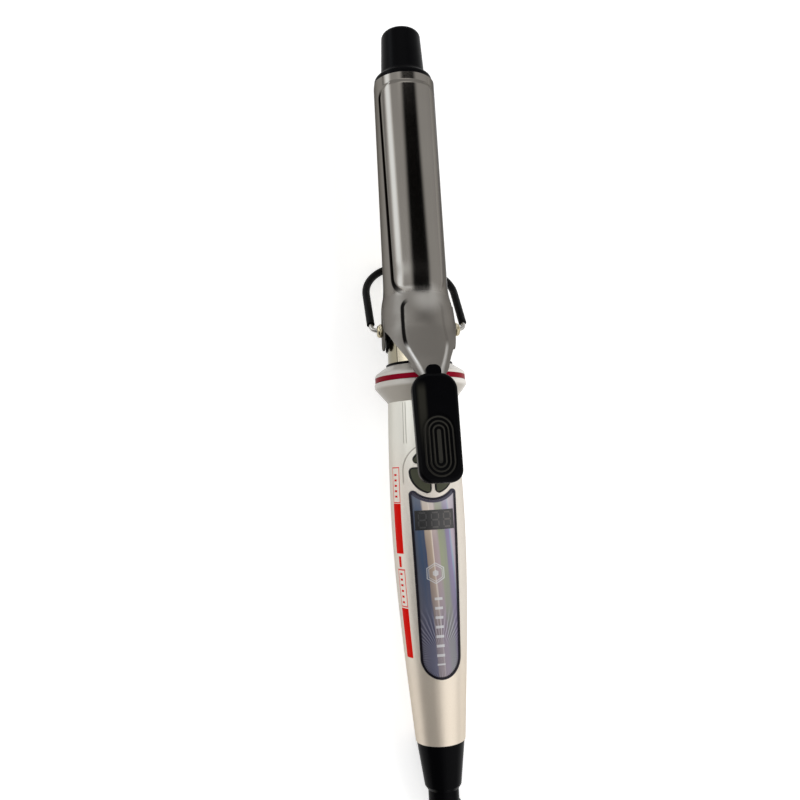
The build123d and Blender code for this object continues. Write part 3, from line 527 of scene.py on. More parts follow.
def pearl_paint(colours):
    """Pearl lacquer on the handle: fine flake, plain red printed stripes, and fine moulded lines."""
    tint = (0.6, 0.58, 0.55, 1)
    made = Finish("pearl_paint", Specular_IOR_Level=0.03, Specular_Tint=tint, Coat_Roughness=0.12)
    flake = made.node("ShaderNodeTexVoronoi", None, {"Vector": made.place, "Scale": 5.0}, "Color")
    sparkle = made.split(flake)[0]
    clouds = made.noise(0.05, 3.0)
    paint = made.mix(sparkle * 0.6 + clouds * 0.4, colours.handle_dark, colours.handle_light)
    paint = made.mix(made.smooth(made.x, -72.0, -44.0) * 0.7, paint, colour(222, 222, 213))
    paint = made.mix((1 - made.smooth(made.x, -150.0, -118.0)) * 0.5, paint, colour(222, 205, 182))
    around = made.around()
    printed = printed_stripes(made, around)
    ink = made.mix(clouds, colours.stripe_light, colours.stripe_dark)
    rim = made.keyhole() * made.smooth(made.z, 0.0, 2.0)
    guide = made.band(abs(around - 0.72), 0.035, 0.048, 0.014) * made.band(made.x, -50.0, -33.5, 1.0)
    lines = made.math("MAXIMUM", rim, guide)
    paint = made.mix(lines * 0.75, paint, colour(150, 142, 132))
    made.feed(Base_Color=made.mix(printed, paint, ink))
    made.feed(Metallic=0.72 * (1 - printed), Roughness=0.34 + 0.08 * sparkle)
    made.feed(Coat_Weight=(0.06 + 0.06 * clouds) * (1 - printed))
    made.bump(0.2 * sparkle - lines, 0.05)
    return made


def dark_bezel():
    """Violet-black frame round the panel."""
    made = Finish("dark_bezel", Specular_IOR_Level=0.14, Coat_Roughness=0.1)
    fine = made.noise(2.0, 2.0)
    front = made.smooth(made.x, -76.0, -68.0)
    paint = made.mix(front, colour(24, 20, 30), colour(66, 64, 80))
    made.feed(Base_Color=made.mix(fine * 0.4, paint, colour(16, 13, 20)))
    made.feed(Roughness=0.25 + 0.12 * fine, Coat_Weight=0.06 + 0.1 * fine)
    made.bump(fine, 0.006)
    return made


FILM_WIDTH = 19.0
FILM_BANDS = (  # share of the film's width from its left edge, and the band's colour
    (0.0, (96, 104, 118)),
    (0.06, (74, 88, 112)),
    (0.14, (56, 82, 114)),
    (0.18, (70, 86, 112)),
    (0.23, (58, 78, 112)),
    (0.25, (170, 150, 132)),
    (0.36, (190, 168, 146)),
    # a thin bright band: a painted reflection of a light strip
    (0.385, (240, 226, 210)),
    (0.402, (176, 154, 152)),
    (0.49, (172, 154, 156)),
    (0.55, (150, 156, 124)),
    (0.66, (140, 144, 124)),
    (0.7, (128, 120, 144)),
    (0.78, (140, 126, 164)),
    (0.81, (146, 168, 184)),
    (0.84, (186, 172, 182)),
    (1.0, (170, 158, 172)),
)


def silver_print(made):
    """The hexagon badge and the ladder of fine marks on the film."""
    along, across = abs(made.x - BADGE), abs(made.y - 1.0)
    hexagon = made.math("MAXIMUM", across, across * 0.5 + along * 0.866)
    outlines = made.banding(hexagon, ((3.3, 3.6), (2.65, 2.85), (-1.0, 1.1)), 0.08)
    rung = abs(made.math("PINGPONG", made.x + 111.0, 1.8) - 1.8) < 0.5
    ladder = rung * (abs(made.y - 0.3) < 1.6) * made.band(made.x, -138.0, -110.0, 0.2)
    return made.math("MAXIMUM", outlines, ladder)


def rainbow_film():
    """Diffraction film: broad colour bands along the panel, fine rays from its round end, a painted highlight near
    its front and a thin painted reflection among the bands.
    """
    made = Finish("rainbow_film", Metallic=0.25, Specular_IOR_Level=0.3, Coat_Roughness=0.08)
    lean = made.y - (made.x - DISPLAY) * 0.06
    ripple = made.noise(1.0, 2.0, made.join(made.x * 0.03, made.y * 1.6, 0.0))
    across = (FILM_WIDTH / 2 - lean) / FILM_WIDTH + 0.07 * (ripple - 0.5)
    paint = made.ramp(across, [(share, colour(*band)) for share, band in FILM_BANDS])
    fading = 0.1 + 0.45 * made.smooth(made.x, -92.0, -122.0)
    paint = made.mix(fading, paint, colour(114, 110, 124))
    angle = made.math("ARCTAN2", made.y, made.x - FILM_END)
    rays = abs(made.math("SINE", angle * 31.0 + 1.5 * made.noise(0.3, 2.0)))
    near_end = 1 - made.smooth(made.x, -126.0, -114.0)
    streak = made.mix(made.smooth(rays, 0.15, 0.9), colour(176, 170, 190), colour(58, 54, 84))
    paint = made.mix(near_end * 0.42, paint, streak)
    # Painted highlight: a white sheen painted near the film's front.
    gleam = made.band(lean, 0.6, 4.4, 1.0) * made.smooth(made.x, -94.0, -72.0)
    paint = made.mix(gleam * 0.6, paint, colour(246, 232, 216))
    pale_front = made.smooth(made.x, -81.0, -73.0) * (0.4 - 0.26 * made.smooth(lean, 2.5, 6.0))
    paint = made.mix(pale_front, paint, colour(206, 204, 204))
    front_edge = 1 - made.smooth(made.reach(BUTTONS), 12.9, 13.1)
    paint = made.mix(front_edge, paint, colour(66, 64, 80))
    paint = made.mix(silver_print(made) * 0.8, paint, colour(206, 206, 208))
    made.feed(Base_Color=paint, Roughness=0.24 + 0.14 * ripple, Coat_Weight=0.25 + 0.2 * ripple)
    made.bump(rays * near_end + 0.4 * ripple, 0.01)
    return made


DIGIT_PITCH = 5.2
DIGIT_HALF_HEIGHT = 2.9


def digit_segments(made):
    """The segments of three figures eight, side by side across the display."""
    half = DIGIT_PITCH / 2
    aside = abs(made.math("PINGPONG", made.y + half, half) - half) / 1.5
    rise = abs(made.x - DISPLAY) / DIGIT_HALF_HEIGHT
    level = made.math("MINIMUM", rise, abs(rise - 1.0))
    bars = (level < 0.11) * (aside < 0.82)
    posts = (abs(aside - 1.0) < 0.17) * (level > 0.16) * (rise < 1.0)
    return made.math("MAXIMUM", bars, posts) * (abs(made.y) < 7.6)


def display_glass():
    """Dark display window with the faint unlit segments of three digits, painted lighter towards its right side as
    a painted reflection.
    """
    made = Finish("display_glass", Specular_IOR_Level=0.3, Coat_Roughness=0.05)
    fine = made.noise(0.6, 2.0)
    # Painted reflection: the glass and its segments are painted lighter towards the right.
    right = made.smooth(made.y, 8.0, -8.0)
    glass = made.mix(right, colour(16, 16, 17), colour(60, 58, 58))
    glass = made.mix(fine * 0.2, glass, colour(44, 45, 47))
    segments = made.mix(right, colour(80, 80, 82), colour(124, 116, 110))
    made.feed(Base_Color=made.mix(digit_segments(made) * 0.4, glass, segments))
    made.feed(Roughness=0.18 + 0.08 * fine, Coat_Weight=0.3 + 0.2 * fine)
    return made


BUTTON_RADIUS = 9.35
BUTTON_SPLIT = -59.85  # the power button lies ahead of this place, the two small ones behind it
BUTTON_WEB = 0.9  # half the width of the web between the buttons
BUTTON_CORNER = 1.2
SIGN_PLACE, SIGN_SIDE = -64.6, 4.3
SIGN_REACH, SIGN_LINE = 1.3, 0.22  # half the length and half the width of a sign's strokes


def button_plastic(colours):
    """Olive-grey push buttons, each face with a black rim and a faint raised sign."""
    made = Finish("button_plastic", Specular_IOR_Level=0.25)
    fine = made.noise(3.0, 2.0)
    power = made.x > BUTTON_SPLIT
    behind = (BUTTON_SPLIT - BUTTON_WEB) - made.x
    small = made.math("SMOOTH_MIN", abs(made.y) - BUTTON_WEB, behind, BUTTON_CORNER)
    inner = (made.x - (BUTTON_SPLIT + BUTTON_WEB)) * power + small * (1 - power)
    edge = made.math("SMOOTH_MIN", BUTTON_RADIUS - made.reach(BUTTONS), inner, BUTTON_CORNER)
    rim = 1 - made.smooth(edge, 0.35, 0.6)
    along = abs(made.x - SIGN_PLACE)
    dash = (along < SIGN_LINE) * (abs(abs(made.y) - SIGN_SIDE) < SIGN_REACH)
    stem = (along < SIGN_REACH) * (abs(made.y + SIGN_SIDE) < SIGN_LINE)
    sign = made.math("MAXIMUM", dash, stem) * (1 - power)
    olive = made.mix(fine, colours.button_dark, colours.button_light)
    olive = made.mix(sign * 0.6, olive, colour(34, 35, 28))
    made.feed(Base_Color=made.mix(rim, olive, colour(8, 8, 8)), Roughness=0.42 + 0.1 * fine)
    made.bump(fine * 0.3 + sign - rim, 0.04)
    return made


def cast_surface(name, low, high, metallic, rough, scale, depth):
    """A plain workshop surface: two close colours and a grain."""
    made = Finish(name, Metallic=metallic)
    fine = made.noise(scale, 3.0)
    clouds = made.noise(scale / 12, 2.0)
    made.feed(Base_Color=made.mix(fine * 0.5 + clouds * 0.5, colour(*low), colour(*high)))
    made.feed(Roughness=rough + 0.15 * (fine - 0.5))
    made.bump(fine, depth)
    return made


# Slot, name, darker and lighter tone, metallic, roughness, grain (features per mm), depth of the grain in mm.
INSIDE_FINISHES = (
    ("aluminium", "extruded_aluminium", (196, 197, 200), (214, 215, 218), 1.0, 0.4, 1.5, 0.01),
    ("heater", "heater_ceramic", (226, 222, 212), (240, 238, 230), 0.0, 0.5, 2.0, 0.01),
    ("board", "board_lacquer", (12, 74, 40), (22, 96, 54), 0.0, 0.3, 1.2, 0.01),
    ("silicone", "keypad_silicone", (170, 170, 164), (188, 188, 182), 0.0, 0.55, 2.0, 0.01),
    ("fibre", "spacer_fibre", (150, 124, 90), (180, 152, 112), 0.0, 0.8, 1.0, 0.05),
)


def cord_jacket(name):
    """Soft black jacket of the cord, its strain relief and its plug."""
    return satin_black(name, 13, 0.18, 0.42, 2.5)


def dress(piece, finish):
    """Gives a piece one finish."""
    piece.data.materials.clear()
    piece.data.materials.append(finish.material)


def dress_slots(finishes):
    """Gives every CAD node of these material slots its finish."""
    for slot, finish in finishes.items():
        parts = [part for part in frame["record"]["subparts"] if part["material_slot"] == slot]
        if not parts:
            raise RuntimeError(f"no CAD node has the material slot {slot}")
        for part in parts:
            dress(nodes[part["node"]], finish)


# ---------------------------------------------------------------- clamp shell
SPOON_RADIUS = 15.05
SPOON_FRONT = 122.2
SPOON_ANGLE = radians(84.0)
SPOON_CORNER = 4.0
FLARE_FRONT = 12.0  # the spoon's straight edge ends here and rises to the hinge
FLARE_REAR = 1.0
FLARE_EDGE = 5.3  # height that the edge rises to
TANG_END = -34.0
CLAMP_COLUMNS = 97  # points across the shell
# Station along the barrel, top of the plate, radius across, half width where the neck is a strip.
CLAMP_STATIONS = (
    (SPOON_FRONT, SPOON_RADIUS, SPOON_RADIUS, None),
    (30.0, SPOON_RADIUS, SPOON_RADIUS, None),
    (21.0, SPOON_RADIUS, SPOON_RADIUS, None),
    (16.0, 15.3, 15.3, None),
    (11.0, 16.35, 16.35, None),
    (6.0, 17.2, 17.2, None),
    (2.0, 17.5, 17.4, 16.55),
    (-1.0, 18.1, 17.5, 16.2),
    (-4.0, 19.4, 18.6, 14.95),
    (-8.0, 21.5, 21.0, 13.6),
    (-11.0, 23.2, 21.0, 12.1),
    (-13.0, 24.3, 20.5, 11.0),
    (-15.7, 25.7, 20.5, 9.6),
    (-18.0, 26.6, 22.0, 8.6),
    (-21.6, 27.6, 32.0, 7.2),
    (-24.6, 28.8, 90.0, 4.6),
    (-26.0, 28.95, 160.0, 4.0),
    (TANG_END, 29.7, 160.0, 4.0),
)
PANEL_MIDDLE, PANEL_HALF, PANEL_SIDE, PANEL_CORNER = 66.4, 51.6, 14.63, 7.5
PANEL_SPREAD = 0.03  # how much wider each side of the panel is, for each mm nearer the tip
BEAD_FRONT = 11.4
BEAD_CORNER = 4.0
BEAD_STATIONS = (  # station along the barrel, half width of the bead
    (13.6, 9.1),
    (1.0, 9.4),
    (-8.0, 9.4),
    (-13.0, 8.0),
    (-15.7, 6.9),
    (-21.6, 4.5),
    (-26.0, 3.4),
    (TANG_END, 3.4),
)
SHADED_SIDE = 0.36  # how dark the painted shade in the creases of the right side is, beside that of the left
FAR_FROM_CREASE = 9.0  # mm; the ears have no raised forms


def hermite(t, start, start_slope, end, end_slope):
    """A cubic from start to end with the given slopes, at t from 0 to 1."""
    near = (2 * t**3 - 3 * t**2 + 1) * start + (t**3 - 2 * t**2 + t) * start_slope
    return near + (3 * t**2 - 2 * t**3) * end + (t**3 - t**2) * end_slope


def between(table, place, column):
    """A smooth curve through one column of a table whose first column falls."""
    last = len(table) - 1
    spot = next((i for i in range(last) if table[i + 1][0] <= place), last - 1)
    rows = [table[max(0, min(last, spot + step))] for step in (-1, 0, 1, 2)]
    (x0, y0), (x1, y1), (x2, y2), (x3, y3) = [(row[0], row[column]) for row in rows]
    run = x2 - x1
    start_slope = run * (y2 - y0) / (x2 - x0)
    end_slope = run * (y3 - y1) / (x3 - x1)
    return hermite((place - x1) / run, y1, start_slope, y2, end_slope)


def eased(value, low, high):
    """0 at low, 1 at high, eased at both ends."""
    t = max(0.0, min(1.0, (value - low) / (high - low)))
    return t * t * (3 - 2 * t)


def clamp_rows():
    """Stations of the shell's rows, close together where its form changes."""
    rows = [SPOON_FRONT]
    while rows[-1] > TANG_END:
        place = rows[-1]
        if place > 117.6:  # the spoon's rounded corners
            step = 0.2
        elif place < -26:  # the straight tang
            step = 2.0
        elif place > 106 or place < 32:  # the ends of the panel, and the flare
            step = 0.4
        else:
            step = 0.9
        rows.append(max(TANG_END, place - step))
    return rows


def clamp_edge_angle(place, radius):
    """Half the angle that the shell covers at a station."""
    if place >= FLARE_REAR + 1.0:
        rise = eased(place, FLARE_FRONT + 1.5, FLARE_REAR - 1.0)
        low = SPOON_RADIUS * cos(SPOON_ANGLE)
        angle = acos(min(1.0, (low + (FLARE_EDGE - low) * rise) / radius))
        into_corner = max(0.0, place - (SPOON_FRONT - SPOON_CORNER))
        return angle - (SPOON_CORNER - sqrt(max(0.0, SPOON_CORNER**2 - into_corner**2))) / radius
    strip = [row for row in CLAMP_STATIONS if row[3] is not None]
    return asin(min(1.0, between(strip, place, 3) / radius))


def outline_distance(along, aside, corner):
    """Distance to a rounded outline, less than 0 inside, and how far the outline faces sideways."""
    outer = sqrt(max(along, 0.0) ** 2 + max(aside, 0.0) ** 2)
    facing = 1.0 if along <= 0 else max(aside, 0.0) / max(outer, 1e-6)
    return min(max(along, aside), 0.0) + outer - corner, facing


def panel_distance(place, arc):
    """Distance to the raised panel's outline, and its facing."""
    along = abs(place - PANEL_MIDDLE) - (PANEL_HALF - PANEL_CORNER)
    aside = abs(arc) - (PANEL_SIDE + (place - PANEL_MIDDLE) * PANEL_SPREAD - PANEL_CORNER)
    return outline_distance(along, aside, PANEL_CORNER)


def bead_distance(place, arc):
    """Distance to the outline of the bead that runs down the neck, and its facing."""
    width = between(BEAD_STATIONS, min(place, 13.5), 1)
    return outline_distance(place - (BEAD_FRONT - BEAD_CORNER), abs(arc) - (width - BEAD_CORNER), BEAD_CORNER)


def clamp_point(place, share, panel_height, bead_height):
    """A point of the shell's outside in iron mm, its distances to the two outlines and their facing, weighted by
    how much painted shade its side's creases get.
    """
    top, radius = between(CLAMP_STATIONS, place, 1), between(CLAMP_STATIONS, place, 2)
    angle = clamp_edge_angle(place, radius) * share
    arc = angle * radius
    panel, panel_facing = panel_distance(place, arc)
    bead, bead_facing = bead_distance(place, arc)
    step = eased(-panel, -0.5, 1.5)
    if place < PANEL_MIDDLE:  # the panel's rear end runs out into the flare
        step += (1 - step) * (1 - panel_facing)
    lift = panel_height * step * eased(place, 12.0, 18.6)
    lift += bead_height * eased(-bead, -0.4, 1.1) * eased(place, 12.5, 2.0)
    reach = radius + lift
    shade = 1.0 if arc > 0 else SHADED_SIDE
    panel_facing **= 4 if place > PANEL_MIDDLE else 1
    spot = (place, reach * sin(angle), top - radius + reach * cos(angle))
    return spot, panel, panel_facing * shade, bead, bead_facing * shade


def deselect():
    """Leaves no object selected."""
    bpy.ops.object.select_all(action="DESELECT")


def work(piece, kind, **settings):
    """Applies one modifier to a piece."""
    bpy.context.view_layer.objects.active = piece
    modifier = piece.modifiers.new(kind.title(), kind)
    for name, setting in settings.items():
        setattr(modifier, name, setting)
    bpy.ops.object.modifier_apply(modifier=modifier.name)


def round_edges(piece, width, segments):
    """Rounds a piece's sharp edges, width in mm."""
    work(piece, "BEVEL", width=width, segments=segments, limit_method="ANGLE", angle_limit=radians(50))


def face_outwards():
    """Turns the active mesh's faces the right way out."""
    bpy.ops.object.mode_set(mode="EDIT")
    bpy.ops.mesh.select_all(action="SELECT")
    bpy.ops.mesh.normals_make_consistent(inside=False)
    bpy.ops.object.mode_set(mode="OBJECT")


def carry(piece, name, values):
    """Stores one number for each of a mesh's points."""
    piece.data.attributes.new(name, "FLOAT", "POINT").data.foreach_set("value", values)


def shape_clamp_plate(sizes):
    """The spring clamp's spoon, flare, neck and tang as one pressed sheet."""
    rows = clamp_rows()
    heights = (sizes.panel_height * 1000, sizes.bead_height * 1000)
    deselect()
    bpy.ops.mesh.primitive_grid_add(x_subdivisions=len(rows) - 1, y_subdivisions=CLAMP_COLUMNS - 1, size=2)
    sheet = bpy.context.object
    names = ("panel_edge", "panel_facing", "bead_edge", "bead_facing")
    marks = {name: [0.0] * len(sheet.data.vertices) for name in names}
    for vertex in sheet.data.vertices:
        row = round((vertex.co.x + 1) / 2 * (len(rows) - 1))
        point, *values = clamp_point(rows[row], -vertex.co.y, *heights)
        vertex.co = point
        for mark, value in zip(marks.values(), values):
            mark[vertex.index] = value
    for name, mark in marks.items():
        carry(sheet, name, mark)
    face_outwards()
    middle = sheet.data.polygons[len(sheet.data.polygons) // 2]
    if middle.normal.z < 0:
        sheet.data.flip_normals()
    work(sheet, "SOLIDIFY", thickness=sizes.sheet * 1000, offset=-1.0, use_even_offset=True)
    return sheet


EAR_FACE = 15.65  # inside of the ears, from the iron's middle
# The ear's outline is drawn round these circles: x, z and radius.
EAR_ROUNDS = ((0, HINGE_HEIGHT, 4.2), (-5.8, 2.1, 3.4), (9.5, 3.1, 1.0), (-1.5, 6.2, 0.0), (3.0, 5.9, 0.0))
RIVET_PLACE = (-0.4, 17.6, HINGE_HEIGHT)  # middle of the left rivet's head


def shape_ear(hand, sizes):
    """One hinge ear: a flat lobe below the clamp's edge, with rounded rims."""
    deselect()
    bpy.ops.mesh.primitive_circle_add(vertices=96, radius=1.0, fill_type="NGON")
    ear = bpy.context.object
    for vertex in ear.data.vertices:
        way = vertex.co.xy.normalized()
        x, z, reach = max(EAR_ROUNDS, key=lambda spot: spot[0] * way.x + spot[1] * way.y + spot[2])
        vertex.co = (x + reach * way.x, hand * EAR_FACE, z + reach * way.y)
    bpy.ops.object.mode_set(mode="EDIT")
    bpy.ops.mesh.select_all(action="SELECT")
    bpy.ops.mesh.extrude_region_move(TRANSFORM_OT_translate={"value": (0, hand * sizes.sheet * 1000, 0)})
    bpy.ops.mesh.select_all(action="SELECT")
    bpy.ops.mesh.remove_doubles(threshold=0.001)
    bpy.ops.object.mode_set(mode="OBJECT")
    face_outwards()
    round_edges(ear, 0.18, 3)
    for name in ("panel_edge", "bead_edge"):
        carry(ear, name, [FAR_FROM_CREASE] * len(ear.data.vertices))
    return ear


def shape_rivet(hand, sizes):
    """One domed rivet head on the hinge, outside the ear."""
    deselect()
    bpy.ops.mesh.primitive_cylinder_add(
        vertices=64,
        radius=sizes.rivet_diameter / 2 * 1000,
        depth=sizes.rivet_height * 1000,
        location=(RIVET_PLACE[0], hand * RIVET_PLACE[1], RIVET_PLACE[2]),
        rotation=(pi / 2, 0, 0),
    )
    head = bpy.context.object
    bpy.ops.object.transform_apply(location=True, rotation=True, scale=True)
    round_edges(head, 1.3, 6)
    return head


SPRING_SEAT = ((-14.6, 23.1), (-11.4, 21.95))  # x and z of the leaf's upper end, under the clamp
SPRING_FOOT = ((-5.4, 14.25), (-1.4, 14.25))  # and of its lower end, on the barrel
SPRING_SLOPES = ((9.2, -3.3), (9.7, -1.0))  # how it leaves the seat and meets the foot
SPRING_SHEET = 0.4


def spring_line(share):
    """A point along the leaf spring, x and z in iron mm, from its seat to its foot."""
    if share < 0.2:
        first, last, part = *SPRING_SEAT, share / 0.2
    elif share > 0.8:
        first, last, part = *SPRING_FOOT, (share - 0.8) / 0.2
    else:
        ends = zip(SPRING_SEAT[1], SPRING_SLOPES[0], SPRING_FOOT[0], SPRING_SLOPES[1])
        return tuple(hermite((share - 0.2) / 0.6, *axis) for axis in ends)
    return tuple(a + (b - a) * part for a, b in zip(first, last))


def shape_spring(width):
    """The leaf spring that holds the clamp shut."""
    deselect()
    bpy.ops.mesh.primitive_grid_add(x_subdivisions=48, y_subdivisions=4, size=2)
    leaf = bpy.context.object
    for vertex in leaf.data.vertices:
        x, z = spring_line((vertex.co.x + 1) / 2)
        vertex.co = (x, width / 2 * 1000 * vertex.co.y, z)
    work(leaf, "SOLIDIFY", thickness=SPRING_SHEET, offset=0.0)
    return leaf


def join_pieces(first, *others):
    """Joins meshes into the first."""
    deselect()
    for piece in (first, *others):
        piece.select_set(True)
    bpy.context.view_layer.objects.active = first
    bpy.ops.object.join()
    return first


def smooth_shade(piece, angle):
    """Shades a piece smooth, except across edges sharper than the angle in degrees."""
    deselect()
    piece.select_set(True)
    bpy.context.view_layer.objects.active = piece
    bpy.ops.object.shade_smooth_by_angle(angle=radians(angle))


# ---------------------------------------------------------------- cord
HANK_MIDDLE = -334.5
HANK_RUN = 51.4  # from the hank's middle to where its ends begin
TIE_HALF, HANK_TAPER = 5.0, 42.0  # half the tie's width, and how far beyond it the loops spread
# One row a loop: half the loop's width, half its waist in the tie, level, and the rise over to the next.
HANK_LOOPS = (
    (24.0, 9.0, 3.0, 0.0),
    (18.4, 3.0, 3.0, 1.0),
    (18.4, 3.0, 9.0, 1.0),
    (18.4, 3.0, 15.0, 6.2),
    (24.0, 9.0, 9.0, 0.0),
)
CORD_START = (
    (-188.55, -14.52, 6.08),
    (-200.0, -22.6, 4.6),
    (-212.0, -27.0, 3.4),
    (-226.0, -27.6, 3.05),
    (-240.0, -26.8, 3.05),
    (-254.0, -25.4, 3.05),
    (-267.0, -24.6, 3.05),
    (-277.0, -24.2, 3.03),
)
CORD_END = (
    (-277.0, 23.6, 8.6),
    (-267.0, 21.4, 8.0),
    (-257.0, 17.6, 7.7),
    (-249.0, 14.6, 7.6),
    (-242.0, 12.5, 7.5),
)


def hank_fold(end, first, last, start, finish, hump):
    """Nine control points round one end of the hank: from one side's offset and level to the other's."""
    reach = (first - last) / 2 / cos(radians(10))
    points = []
    for step in range(-4, 5):
        angle = radians(20 * step)
        share = (step + 4.5) / 9
        height = start + (finish - start) * share + hump * (1 - (2 * share - 1) ** 2)
        across = (first + last) / 2 - reach * sin(angle)
        points.append((end * (HANK_RUN + abs(reach) * cos(angle)), across, height))
    return points


def hank_side(way, wide, waist, level):
    """Fifteen control points along one side of the hank, drawn in to the tie at its middle."""
    points = []
    for step in range(-7, 8):
        along = (HANK_RUN - 3.0) * step / 7
        drawn = (1 - cos(pi * min(1.0, max(0.0, (abs(along) - TIE_HALF) / HANK_TAPER)))) / 2
        points.append((way * along, way * (waist + (wide - waist) * drawn), level))
    return points


def levelled(points):
    """The same points with their heights eased into one another."""
    for _ in range(2):
        last = len(points) - 1
        near = [points[max(0, i - 2) : min(last, i + 2) + 1] for i in range(last + 1)]
        points = [(x, y, sum(p[2] for p in some) / len(some)) for (x, y, _), some in zip(points, near)]
    return points


def cord_route():
    """Control points of the whole cord in mm: lead, hank and tail."""
    points = []
    for (wide, waist, level, hump), following in zip(HANK_LOOPS, (*HANK_LOOPS[1:], None)):
        points += hank_side(-1, wide, waist, level)
        points += hank_fold(-1, -wide, wide, level, level, 0.0)
        points += hank_side(1, wide, waist, level)
        if following:
            points += hank_fold(1, wide, -following[0], level, following[2], hump)
    hank = [(HANK_MIDDLE + x, y, z) for x, y, z in levelled(points)]
    return [*CORD_START, *hank, *CORD_END]


def lay_cord(radius):
    """The cord's curve: one open spline."""
    curve = bpy.data.curves.new("power_cord", "CURVE")
    curve.dimensions = "3D"
    curve.bevel_depth = radius
    curve.bevel_resolution = 5
    curve.use_fill_caps = True
    spline = curve.splines.new("NURBS")
    points = cord_route()
    spline.points.add(len(points) - 1)
    for point, place in zip(spline.points, points):
        point.co = (*(c / 1000 for c in place), 1.0)
    spline.order_u = 3
    spline.use_endpoint_u = True
    spline.resolution_u = 4
    piece = bpy.data.objects.new("power_cord", curve)
    bpy.context.scene.collection.objects.link(piece)
    return piece


# ---------------------------------------------------------------- stage
def add_floor(glow_level):
    """White paper that also glows a little for the camera, in mirrors and through glass."""
    deselect()
    bpy.ops.mesh.primitive_plane_add(size=6.0, location=(0, 0, 0))
    floor = bpy.context.object
    floor.name = "floor"
    paper = Finish("studio_paper", Roughness=0.9, Specular_IOR_Level=0.0)
    fibre = paper.noise(0.8, 3.0)
    paper.feed(Base_Color=paper.mix(fibre, colour(236, 236, 236), colour(244, 244, 244)))
    seen = paper.node("ShaderNodeLightPath", output="Is Camera Ray")
    for ray in ("Is Glossy Ray", "Is Transmission Ray"):
        seen = paper.math("MAXIMUM", seen, paper.node("ShaderNodeLightPath", output=ray))
    glow = paper.node("ShaderNodeEmission", None, {"Color": (1, 1, 1, 1), "Strength": seen * glow_level})
    both = paper.node("ShaderNodeAddShader", None, {0: Value(paper, paper.shader.outputs[0]), 1: glow})
    out = next(n for n in paper.tree.nodes if n.type == "OUTPUT_MATERIAL")
    paper.tree.links.new(both.socket, out.inputs["Surface"])
    floor.data.materials.append(paper.material)


def mirror_light(board, side, fore):
    """What polished metal sees in a direction, in degrees round the iron and towards its tip: the level of
    the light, and the white strip's share of it."""
    far_side = side + (24.0 - fore) * 0.85
    card_end = 10.0 * (1 - board.smooth(fore, 12.8, 13.9))
    card_left = 1 - board.smooth(side + card_end, 8.0, 26.0)
    card = board.smooth(far_side - card_end, -47.0, -29.0) * card_left * board.band(fore, 12.6, 30.5, 1.6)
    strip_side = far_side + 30.0 * (1 - board.smooth(fore, 13.0, 15.0))
    strip = board.smooth(strip_side, 50.0, 64.0) * (1 - board.smooth(strip_side, 70.0, 84.0))
    strip = strip * board.band(fore, 13.0, 60.0, 3.0)
    corner = board.band(side, 24.0, 66.0, 10.0) * board.band(fore, 9.6, 11.6, 1.4)
    low = board.smooth(side, 80.0, 98.0) * (1 - board.smooth(side, 116.0, 140.0))
    glow = board.band(fore, 33.0, 41.0, 7.0) * board.band(side, -8.0, 14.0, 26.0)
    open_sky = 1.1 - 0.32 * board.smooth(fore, 30.0, 36.0) + 0.9 * glow
    ahead = open_sky * (1 - 0.99 * card) * (1.0 - 0.62 * low) + 2.6 * strip + 1.5 * corner
    window = board.smooth(side, -100.0, -54.0) * (1 - board.smooth(side, -20.0, 20.0))
    behind = 0.12 + 1.34 * window + 0.3 * (1 - board.smooth(side, -130.0, -92.0))
    return behind + (ahead - behind) * board.smooth(fore, -14.0, 4.0), strip


def add_sky(level):
    """Soft light all round; mirrors see a dark card, a white strip and a window instead."""
    sky = bpy.data.worlds.new("studio")
    sky.use_nodes = True
    bpy.context.scene.world = sky
    board = Board(sky.node_tree)
    way = board.node("ShaderNodeTexCoord", output="Generated")
    turn = {"Vector": way, "Rotation": (0, -TILT, 0)}
    x, y, z = board.split(board.node("ShaderNodeMapping", {"vector_type": "TEXTURE"}, turn))
    side = board.math("ARCTAN2", y, z) * (180 / pi)
    fore = board.math("ARCSINE", x) * (180 / pi)
    mirror, strip = mirror_light(board, side, fore)
    camera_ray = board.node("ShaderNodeLightPath", output="Is Camera Ray")
    glossy = board.node("ShaderNodeLightPath", output="Is Glossy Ray")
    through = board.node("ShaderNodeLightPath", output="Is Transmission Ray")
    plain = board.math("MAXIMUM", camera_ray, through)
    strength = board.either(plain, board.either(glossy, level, mirror), 1.0)
    cool = board.mix(strip * glossy, (1, 1, 1, 1), (0.93, 0.99, 1.05, 1))
    light = board.node("ShaderNodeBackground", None, {"Color": cool, "Strength": strength})
    board.node("ShaderNodeOutputWorld", None, {"Surface": light})


def add_light(name, place, width, length, power):
    """A rectangular light that faces the iron, at a place in its own axes, its long side along it."""
    bpy.ops.object.light_add(type="AREA")
    light = bpy.context.object
    light.name = name
    light.data.shape = "RECTANGLE"
    light.data.size = length
    light.data.size_y = width
    light.data.energy = power
    light.visible_glossy = False
    here = FROM_IRON @ Vector(place)
    back = (here - ORIGIN).normalized()
    along = (ALONG - ALONG.dot(back) * back).normalized()
    across = back.cross(along)
    light.matrix_world = Matrix.Translation(here) @ Matrix((along, across, back)).transposed().to_4x4()


CAMERA_PLACE = (-61.4, 62.8586, 331.0858)  # mm, in the iron's own axes
CAMERA_TURN = (13.244, -8.861, -92.985)  # degrees
CAMERA_LENS = 33.75  # mm, on a sensor 36 mm wide
CAMERA_SHIFT = -0.125


def add_camera():
    """The camera looks down on the iron, its top to the tip."""
    bpy.ops.object.camera_add()
    camera = bpy.context.object
    turn = TURN @ Euler([radians(angle) for angle in CAMERA_TURN]).to_matrix()
    camera.matrix_world = Matrix.Translation(FROM_IRON @ Vector(CAMERA_PLACE)) @ turn.to_4x4()
    camera.data.sensor_width = 36.0
    camera.data.lens = CAMERA_LENS
    camera.data.shift_y = CAMERA_SHIFT
    camera.data.clip_start, camera.data.clip_end = 0.01, 20.0
    bpy.context.scene.camera = camera


